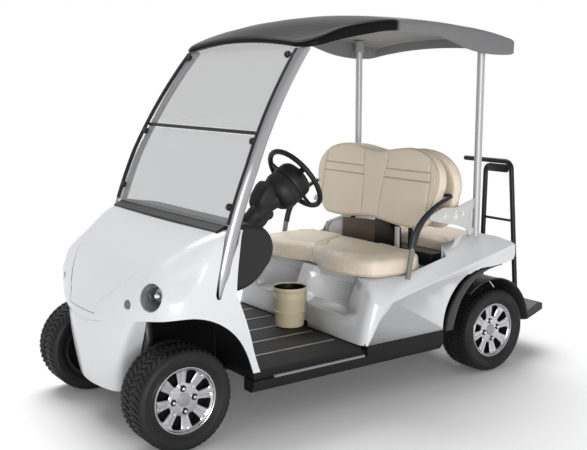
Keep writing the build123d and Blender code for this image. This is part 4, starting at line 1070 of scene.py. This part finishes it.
def pillarMeshes(shape):
    foot, middle, top = (Vector(shape[k]) for k in ("foot", "middle", "top"))
    cx, cz, bend = arcThrough((foot.x, foot.z), (middle.x, middle.z), (top.x, top.z))
    start = math.atan2(foot.z - cz, foot.x - cx)
    end = math.atan2(top.z - cz, top.x - cx)
    path, sizes, strip = [], [], []
    for i in range(61):
        share = i / 60 * shape["overrun"]
        a = start + (end - start) * share
        x, z = cx + bend * math.cos(a), cz + bend * math.sin(a)
        y = pillarWay(z)
        path.append(Vector((x, y, z)))
        grow = min(1, max(0.03, (z - shape["tip"]) / shape["tipLength"])) ** 0.7
        sizes.append((shape["wide"] * grow, shape["deep"] * grow))
        if z > shape["sealFrom"]:
            out = Vector((math.cos(a), 0, math.sin(a)))
            strip.append(Vector((x, y - shape["sealIn"], z)) + out * shape["sealOut"])
    side = Vector((0, 1, 0))
    metal = sweepMesh(path, sizes, side, pillarSilver, 36)
    strip = strip[:-2]
    return metal, sweepMesh(strip, [shape["sealHalf"]] * len(strip), side, rubber, 12, 4.0)


metal, seal = pillarMeshes(pillarShape)
addPiece("pillars", [metal], ["front_pillars"])
addPiece("pillarSeals", [seal])

# windshield panes and the black clamps at their corners
paneShape = {
    "arc": [(0.9075, 0.960), (0.7265, 1.350), (0.4755, 1.745)],
    # lower edge, upper edge, rise of the upper edge in the middle
    "panes": [(0.959, 1.339, 0), (1.361, 1.741, 0.036)],
    "steps": 24, "halfThick": (0.0025, 0.0025 * 0.55), "besidePillar": 0.014,
    "clamps": [(0.455, 1.690), (0.520, 1.312), (0.533, 1.035)],
    "knob": [(0, 0), (0.0150, 0.0), (0.0165, 0.003), (0.0165, 0.012), (0.0130, 0.018), (0.0060, 0.020), (0, 0.0202)],
    # across from the knob, half height and half thickness
    "arm": [(-0.004, 0.009, 0.005), (0.014, 0.009, 0.005), (0.030, 0.006, 0.004)],
}


def paneMesh(shape, low, high, crowned):
    cx, cz, bend = arcThrough(*shape["arc"])
    bm = bmesh.new()
    steps = shape["steps"]
    grid = []
    for i in range(steps + 1):
        row = []
        for j in range(steps + 1):
            share = j * 2 / steps - 1
            z = low + (high + crowned * (1 - share * share) - low) * i / steps
            x = cx + math.sqrt(bend * bend - (z - cz) ** 2)
            row.append((x, (pillarWay(z) - shape["besidePillar"]) * share, z))
        grid.append(row)
    shiftX, shiftZ = shape["halfThick"]
    rims = []
    for way in (-1, 1):
        sheet = [[bm.verts.new((x + way * shiftX, y, z + way * shiftZ)) for x, y, z in row] for row in grid]
        for lower, upper in zip(sheet, sheet[1:]):
            for j in range(steps):
                bm.faces.new((lower[j], lower[j + 1], upper[j + 1], upper[j]))
        up = [row[-1] for row in sheet[1:]]
        down = [row[0] for row in sheet[-2:0:-1]]
        rims.append(sheet[0] + up + sheet[-1][-2::-1] + down)
    inside, outside = rims
    for i in range(len(inside)):
        j = (i + 1) % len(inside)
        bm.faces.new((inside[i], inside[j], outside[j], outside[i]))
    return toMesh(bm, "pane", [clear])


def clampMeshes(shape):
    cx, cz, bend = arcThrough(*shape["arc"])
    out = []
    for y, z in shape["clamps"]:
        x = cx + math.sqrt(bend * bend - (z - cz) ** 2)
        axis = Vector((x - cx, 0, z - cz)).normalized()
        place = Vector((x, y, z)) + axis * 0.002
        out.append(turnedMesh(shape["knob"], 24, place, axis, frameBlack))
        bar = [place + Vector((0, across, 0)) + axis * 0.006 for across, wide, deep in shape["arm"]]
        sizes = [(wide, deep) for across, wide, deep in shape["arm"]]
        out.append(sweepMesh(bar, sizes, axis.cross(Vector((0, 1, 0))), frameBlack, 12, 4.0))
    return out


panes = [paneMesh(paneShape, *pane) for pane in paneShape["panes"]]
addPiece("panes", panes, ["windshield"], twin=False)
addPiece("paneLatches", clampMeshes(paneShape))
print("stage: windshield")

# armrests: the bar, and the cast foot that takes it to the seat
armShape = {
    "path": [
        (0.286, 0.322, 0.980), (0.290, 0.430, 0.982), (0.302, 0.520, 0.985), (0.340, 0.550, 0.980),
        (0.405, 0.552, 0.958),
        (0.473, 0.552, 0.918), (0.532, 0.552, 0.868), (0.570, 0.552, 0.808), (0.590, 0.552, 0.740),
    ],
    "thin": 0.008,  # half width and half depth at the upper end
    "widen": 0.005, "deepen": 0.0095,  # what both gain towards the lower end
    "deepFrom": 0.35, "deepOver": 0.5,
    # distance from the rear axle, height, half width and half depth
    "foot": [
        (0.5885, 0.748, 0.011, 0.0145), (0.596, 0.715, 0.011, 0.0150), (0.604, 0.672, 0.011, 0.0145),
        (0.612, 0.625, 0.011, 0.0140), (0.617, 0.590, 0.010, 0.012),
    ],
    "footAcross": 0.5535,
}


def armMeshes(shape):
    path = smoothPath([Vector((rearX + x, y, z)) for x, y, z in shape["path"]], 8)
    sizes = []
    for i in range(len(path)):
        t = i / (len(path) - 1)
        deep = max(0, min(1, (t - shape["deepFrom"]) / shape["deepOver"]))
        sizes.append((shape["thin"] + shape["widen"] * min(1, 2 * t), shape["thin"] + shape["deepen"] * deep))
    bar = sweepMesh(path, sizes, Vector((0.3, 1, 0.1)), armBlack, 20, 3.0)
    path = [Vector((rearX + x, shape["footAcross"], z)) for x, z, wide, deep in shape["foot"]]
    return bar, sweepMesh(path, [part[2:] for part in shape["foot"]], Vector((0, 1, 0)), footGrey, 20, 2.6)


armBar, armFoot = armMeshes(armShape)
addPiece("armrests", [armBar], ["armrests"])
addPiece("armFeet", [armFoot])

# brackets between the posts and the backs
bracketShape = {
    "plate": [
        (0.352, 0.846), (0.425, 0.866), (0.418, 0.890), (0.330, 0.925), (0.235, 0.918), (0.178, 0.934), (0.100, 0.957),
        (0.060, 0.962), (0.060, 0.930), (0.098, 0.918), (0.118, 0.880), (0.112, 0.800), (0.060, 0.782), (0.060, 0.750),
        (0.132, 0.752), (0.150, 0.795), (0.220, 0.822),
    ],
    "plateAcross": (0.494, 0.503), "plateBevel": 0.002,
    # distance from the rear axle, height, radius of the head
    "bolts": [
        (0.318, 0.880, 0.010), (0.243, 0.872, 0.012), (0.190, 0.880, 0.010), (0.243, 0.898, 0.007),
        (0.085, 0.945, 0.008),
        (0.083, 0.768, 0.008),
    ],
    "boltsAcross": 0.5025,
}


def boltMesh(shape, x, z, r):
    head = [(0, 0), (r * 1.5, 0), (r * 1.5, 0.002), (r, 0.0025), (r * 0.9, 0.007), (0, 0.0078)]
    return turnedMesh(head, 6, Vector((rearX + x, shape["boltsAcross"], z)), (0, 1, 0), chrome)


plate = prismMesh(bracketShape["plate"], *bracketShape["plateAcross"], behindSide, castPale, bracketShape["plateBevel"])
addPiece("postBrackets", [plate], ["post_brackets"])
addPiece("bracketBolts", [boltMesh(bracketShape, *bolt) for bolt in bracketShape["bolts"]])

# what shows between the seat and its back; depths are from the rear axle
gapShape = {
    # outline seen from the front, rear and front face, bevel
    # the bar is a black block set where the gap between the seat and its back lies in shade: painted shade
    "bar": ([(-0.450, 0.602), (0.450, 0.602), (0.450, 0.672), (-0.450, 0.672)], (0.2370, 0.3560), 0.004),
    # the box is a black block set where the near half of the gap lies in shade: painted shade
    "box": (
        [(-0.004, 0.650), (0.160, 0.650), (0.150, 0.770), (0.110, 0.800), (-0.004, 0.815)], (0.3000, 0.3640), 0.004,
    ),
    "panel": ([(-0.300, 0.672), (0.003, 0.672), (0.003, 0.800), (-0.300, 0.780)], (0.3500, 0.3560), 0.002),
    "plate": (
        [(-0.440, 0.672), (-0.318, 0.672), (-0.318, 0.762), (-0.400, 0.740), (-0.440, 0.700)], (0.3450, 0.3560), 0.002,
    ),
    # depth, height, half width and half thickness
    "stub": [
        (0.374, 0.640, 0.020, 0.012), (0.374, 0.665, 0.016, 0.010), (0.374, 0.740, 0.015, 0.009),
        (0.374, 0.790, 0.015, 0.009),
    ],
    "stubAcross": 0.199,
    "upright": [
        (0.322, 0.645, 0.016, 0.010), (0.322, 0.760, 0.016, 0.010), (0.318, 0.900, 0.016, 0.010),
        (0.305, 1.080, 0.016, 0.010),
    ],
    "uprightsAcross": (-0.250, 0.250),
}


def gapPlate(part, mat):
    outline, (rear, front), bevel = gapShape[part]
    return prismMesh(outline, rearX + rear, rearX + front, frontOn, mat, bevel)


def gapPost(part, y, mat, segments):
    path = [Vector((rearX + x, y, z)) for x, z, wide, deep in gapShape[part]]
    return sweepMesh(path, [point[2:] for point in gapShape[part]], Vector((0, 1, 0)), mat, segments, 3.0)


# the bar and the box stand for shade in the gap; the uprights are the frame's posts
gapFrame = [gapPlate("bar", frameBlack), gapPlate("box", frameBlack)]
gapFrame += [gapPost("upright", y, frameBlack, 16) for y in gapShape["uprightsAcross"]]
gapStubs = [gapPost("stub", gapShape["stubAcross"], castPale, 20), gapPlate("plate", castPale)]
addPiece("backFrame", gapFrame, ["backrest_frame"], twin=False)
addPiece("backPanel", [gapPlate("panel", panelBrown)], twin=False)
addPiece("backStubs", gapStubs, twin=False)

# sockets that take the posts under the roof
socketShape = {
    "profile": [(0, 0), (0.025, 0), (0.029, 0.004), (0.029, 0.066), (0, 0.066)],
    "place": (rearX + 0.081, 0.500, 1.748),
}
socket = turnedMesh(socketShape["profile"], 32, Vector(socketShape["place"]), (0, 0, 1), roofUnder)
addPiece("postSockets", [socket])

# steering wheel: the grip, the drum that turns with it, and the short spokes between them
steeringShape = {
    "hub": (frontX - 0.788, 0.270, 1.105), "axis": (-0.829, 0, 0.559),
    "gripRadius": 0.1640, "gripHalf": (0.0135, 0.0125),
    "drum": [
        (0, -0.062), (0.080, -0.062), (0.092, -0.060), (0.0955, -0.052), (0.0950, -0.020), (0.0925, 0.002),
        (0.0850, 0.014),
        (0.0680, 0.021), (0.0400, 0.024), (0, 0.0245),
    ],
    "spokes": 3,
    # radius, along the axis, half width and half depth
    "spoke": [
        (0.070, -0.010, 0.026, 0.007), (0.094, -0.009, 0.021, 0.006), (0.110, -0.007, 0.016, 0.0055),
        (0.132, -0.003, 0.0135, 0.0055), (0.158, 0.0, 0.015, 0.006),
    ],
}
hubAt = Vector(steeringShape["hub"])
hubAxis = Vector(steeringShape["axis"]).normalized()
wheelTurn = Vector((0, 1, 0)).rotation_difference(hubAxis).to_matrix()


# A place given across the steering wheel's face and along its axis.
def onWheel(x, along, z):
    return hubAt + wheelTurn @ Vector((x, along, z))


def steeringMeshes(shape):
    grip = []
    wide, deep = shape["gripHalf"]
    for k in range(16):
        a = 2 * math.pi * k / 16
        grip.append((shape["gripRadius"] + wide * math.cos(a), deep * math.sin(a)))
    out = [turnedMesh(grip, 96, hubAt, hubAxis, gripBlack), turnedMesh(shape["drum"], 56, hubAt, hubAxis, gripBlack)]
    down = wheelTurn.inverted() @ Vector((0, 0, -1))
    base = math.atan2(down.z, down.x)
    for k in (0, 1, -1):
        turn = k * 2 * math.pi / shape["spokes"]
        c, s = math.cos(base + turn), math.sin(base + turn)
        path = [onWheel(r * c, along, r * s) for r, along, wide, deep in shape["spoke"]]
        flat = wheelTurn @ Vector((-s, 0, c))
        out.append(sweepMesh(path, [point[2:] for point in shape["spoke"]], flat, gripBlack, 16, 3.0))
    return out


addPiece("steeringWheel", steeringMeshes(steeringShape), ["steering_wheel"], "steering_wheel", twin=False)

# steering column: housing, cover, knob, stalk and gauge pod; places are from the hub
columnShape = {
    # turned round the axis behind the drum: the housing, its seam, and the column
    "onAxis": [
        [
            (0, -0.158), (0.054, -0.158), (0.072, -0.150), (0.0860, -0.132), (0.0930, -0.105), (0.0955, -0.074),
            (0.0940, -0.0655), (0.0880, -0.0635), (0, -0.0635),
        ],
        [(0.0860, -0.1020), (0.0955, -0.1000), (0.0962, -0.0930), (0.0880, -0.0900)],
        [
            (0, -0.400), (0.036, -0.400), (0.039, -0.385), (0.037, -0.330), (0.037, -0.300), (0.042, -0.285),
            (0.042, -0.270),
            (0.040, -0.255), (0.042, -0.215), (0.048, -0.180), (0.054, -0.154), (0, -0.152),
        ],
    ],
    "lower": (0, 0, -0.048),
    "cover": [
        (0, -0.390), (0.028, -0.388), (0.034, -0.375), (0.036, -0.300), (0.034, -0.240), (0.029, -0.222),
        (0.029, -0.205),
        (0, -0.203),
    ],
    "end": [(0, -0.024), (0.024, -0.024), (0.027, -0.018), (0.027, 0.018), (0.024, 0.024), (0.014, 0.026), (0, 0.0265)],
    "endAlong": 0.200,
    "knob": [(0, 0), (0.006, 0), (0.006, 0.016), (0.011, 0.021), (0.012, 0.029), (0.008, 0.034), (0, 0.035)],
    "knobAt": (0, 0.010, 0.080), "knobAlong": 0.090, "knobAxis": (0.1, 0, 1),
    "stalkAlong": -0.100, "stalk": [(-0.07, 0.010), (-0.11, 0.014), (-0.15, 0.020), (-0.172, 0.026)],
    "stalkHalf": 0.006, "stalkWiden": 0.0035,
    "podAcross": 0.262,
    # distance from the front axle, height, half width and half depth
    "pod": [
        (-0.560, 0.975, 0.034, 0.020), (-0.572, 0.984, 0.048, 0.033), (-0.596, 1.010, 0.057, 0.046),
        (-0.630, 1.056, 0.058, 0.049), (-0.644, 1.073, 0.053, 0.045), (-0.649, 1.079, 0.046, 0.038),
    ],
}


def columnMeshes(shape):
    out = [turnedMesh(profile, 48, hubAt, hubAxis, dashGrey) for profile in shape["onAxis"]]
    lower = hubAt + Vector(shape["lower"])
    out.append(turnedMesh(shape["cover"], 40, lower, hubAxis, dashGrey))
    out.append(turnedMesh(shape["end"], 32, lower - hubAxis * shape["endAlong"], (0, 1, 0), dashGrey))
    knobAt = hubAt + Vector(shape["knobAt"]) - hubAxis * shape["knobAlong"]
    out.append(turnedMesh(shape["knob"], 24, knobAt, Vector(shape["knobAxis"]).normalized(), dashGrey))
    stalk = smoothPath([onWheel(0, shape["stalkAlong"], 0) + Vector((0, y, z)) for y, z in shape["stalk"]], 5)
    half, widen = shape["stalkHalf"], shape["stalkWiden"]
    sizes = [(half + widen * (i / len(stalk)) ** 2, half) for i in range(len(stalk))]
    out.append(sweepMesh(stalk, sizes, Vector((1, 0, 0)), dashGrey, 14))
    path = [Vector((frontX + x, shape["podAcross"], z)) for x, z, wide, deep in shape["pod"]]
    out.append(sweepMesh(path, [point[2:] for point in shape["pod"]], Vector((0, 1, 0)), dashGrey, 28, 4.5))
    return out


addPiece("column", columnMeshes(columnShape), ["steering_column"], sharp=30, twin=False)
print("stage: steering")

# headlamps: bulb and bowl, turned out by the toe
lampShape = {
    "place": (frontX + 0.103, 0.482, 0.676), "toe": math.radians(24),
    "bowl": [
        (0, -0.070), (0.022, -0.070), (0.030, -0.066), (0.036, -0.056), (0.040, -0.040), (0.0430, -0.040),
        (0.0400, -0.058),
        (0.0330, -0.071), (0.0230, -0.0750), (0, -0.0752),
    ],
    "bulb": [
        (0, -0.070), (0.012, -0.070), (0.0125, -0.052), (0.016, -0.044), (0.015, -0.034), (0.008, -0.029),
        (0, -0.0285),
    ],
}


def lampMesh(part, segments, mat):
    axis = Vector((math.cos(lampShape["toe"]), math.sin(lampShape["toe"]), 0))
    return turnedMesh(lampShape[part], segments, Vector(lampShape["place"]), axis, mat)


addPiece("lamps", [lampMesh("bulb", 32, chrome)], ["headlamps"], sharp=30)
addPiece("lampBowls", [lampMesh("bowl", 64, lampBowl)], sharp=30)

# bin
binShape = {
    "place": (rearX + 0.976, 0.030, 0.2933),
    "shell": [
        (0, 0), (0.0700, 0), (0.0745, 0.003), (0.0755, 0.010), (0.0775, 0.070), (0.0795, 0.076), (0.0826, 0.078),
        (0.0826, 0.084), (0.0798, 0.087), (0.0805, 0.094), (0.0826, 0.150), (0.0838, 0.154), (0.0838, 0.158),
        (0.0830, 0.162), (0.0858, 0.188), (0.0835, 0.188), (0.0730, 0.006), (0, 0.006),
    ],
    "rim": [
        (0.0832, 0.188), (0.0858, 0.188), (0.0885, 0.193), (0.0915, 0.202), (0.0918, 0.209), (0.0900, 0.2125),
        (0.0868, 0.2115), (0.0840, 0.202),
    ],
    "lining": [(0, 0.008), (0.0725, 0.008), (0.0850, 0.2060), (0.0838, 0.2070), (0.0712, 0.012), (0, 0.012)],
}
for name, part, mat, slotName, replaced in (
    ("binBody", "shell", binBeige, "bin_beige", ["bin"]), ("binRim", "rim", binBeige, "bin_beige", []),
    ("binLining", "lining", frameBlack, "frame_black", []),
):
    mesh = turnedMesh(binShape[part], 64, Vector(binShape["place"]), (0, 0, 1), mat)
    addPiece(name, [mesh], replaced, sharp=30, twin=False)

# tread plate on the rear step, with rounded corners
stepShape = {
    "corners": [(rearX - 0.318, 0.522), (rearX - 0.586, 0.397), (rearX - 0.586, -0.397), (rearX - 0.318, -0.522)],
    "round": 0.030, "heights": (0.261, 0.2645),
}


def stepMesh(shape):
    corners = shape["corners"]
    plan = []
    for before, corner, after in zip(corners[-1:] + corners, corners, corners[1:] + corners[:1]):
        corner = Vector(corner)
        start, end = (corner + (Vector(p) - corner).normalized() * shape["round"] for p in (before, after))
        for k in range(7):
            t = k / 6
            plan.append(tuple(start * (1 - t) ** 2 + corner * 2 * t * (1 - t) + end * t * t))
    return prismMesh(plan, *shape["heights"], lyingFlat, platformGrey)


addPiece("stepPad", [stepMesh(stepShape)], twin=False)

# sleeve on the grab frame
sleeveShape = {
    "x": -1.3025, "z": 1.052,
    # across, half width and half depth
    "parts": [
        (0.012, 0.013, 0.020), (0.018, 0.017, 0.0245), (0.085, 0.017, 0.0245), (0.158, 0.017, 0.0245),
        (0.164, 0.013, 0.020),
    ],
}
path = [Vector((sleeveShape["x"], part[0], sleeveShape["z"])) for part in sleeveShape["parts"]]
sleeve = sweepMesh(path, [part[1:] for part in sleeveShape["parts"]], Vector((1, 0, 0)), gripBlack, 20, 2.6)
addPiece("grabSleeve", [sleeve], twin=False)

# plates that close the floor and the front wheel wells: half width, lower and upper edge, rear and front face
floorShape = {"toe": (0.360, 0.200, 0.560, 0.862, 0.870), "heel": (0.500, 0.262, 0.2895, 0.050, 0.1615)}
boards = []
for half, low, high, rear, front in floorShape.values():
    outline = [(-half, low), (half, low), (half, high), (-half, high)]
    boards.append(prismMesh(outline, rear, front, frontOn, linerBlack))
addPiece("floorPlates", boards, twin=False)

print("stage: fittings")

# floor, light and camera
studioShape = {
    "floorSize": 60, "floorHeight": -0.0005, "floorColor": (0.86, 0.86, 0.86),
    # the sky turns from white to grey between two heights of its unit sphere
    "skyFrom": 0.12, "skyTo": 0.55, "horizon": (1, 1, 1), "zenith": (0.42, 0.42, 0.43),
    "keyWay": (0.15, 0.50, -1), "keyPower": 2.5, "keyAngle": math.radians(50),
    "fillPlace": (3.2, 6.5, 1.4), "fillTarget": (0.0, 0, 0.6), "fillSize": (3.5, 2.0), "fillWatts": 240,
    "cameraPlace": (2.8888, 3.8306, 1.5815), "cameraWay": (-0.57186, -0.80473, -0.15932), "lens": 55.17,
}
bpy.ops.mesh.primitive_plane_add(size=studioShape["floorSize"], location=(0, 0, studioShape["floorHeight"]))
floor = bpy.context.object
floor.name = "studioFloor"
floor.data.materials.append(principled("floorPale", studioShape["floorColor"], 0.9, specular=0.1))


# White round the horizon, and a grey ceiling.
def studioSky(shape):
    world = bpy.data.worlds.new("studio")
    scene.world = world
    world.use_nodes = True
    tree = world.node_tree
    coord = tree.nodes.new("ShaderNodeTexCoord")
    split = tree.nodes.new("ShaderNodeSeparateXYZ")
    height = tree.nodes.new("ShaderNodeMapRange")
    height.interpolation_type = "SMOOTHSTEP"
    height.inputs["From Min"].default_value = shape["skyFrom"]
    height.inputs["From Max"].default_value = shape["skyTo"]
    tree.links.new(coord.outputs["Generated"], split.inputs["Vector"])
    tree.links.new(split.outputs["Z"], height.inputs["Value"])
    color = tree.nodes["Background"].inputs["Color"]
    mixed(tree, shape["horizon"], shape["zenith"], height.outputs["Result"], color)


# An object for a light or camera that looks along a direction.
def aimed(name, data, way, place=(0, 0, 0)):
    holder = bpy.data.objects.new(name, data)
    scene.collection.objects.link(holder)
    holder.location = place
    holder.rotation_euler = Vector(way).to_track_quat("-Z", "Y").to_euler()
    return holder


studioSky(studioShape)
key = bpy.data.lights.new("highKey", "SUN")
key.energy = studioShape["keyPower"]
key.angle = studioShape["keyAngle"]
aimed("highKey", key, studioShape["keyWay"])
fill = bpy.data.lights.new("sideFill", "AREA")
fill.shape = "RECTANGLE"
fill.size, fill.size_y = studioShape["fillSize"]
fill.energy = studioShape["fillWatts"]
fillPlace = Vector(studioShape["fillPlace"])
aimed("sideFill", fill, Vector(studioShape["fillTarget"]) - fillPlace, fillPlace)
camera = bpy.data.cameras.new("viewCamera")
camera.sensor_width = 36
camera.lens = studioShape["lens"]
scene.camera = aimed("viewCamera", camera, studioShape["cameraWay"], studioShape["cameraPlace"])
scene.view_settings.view_transform = "Standard"
print("stage: studio")
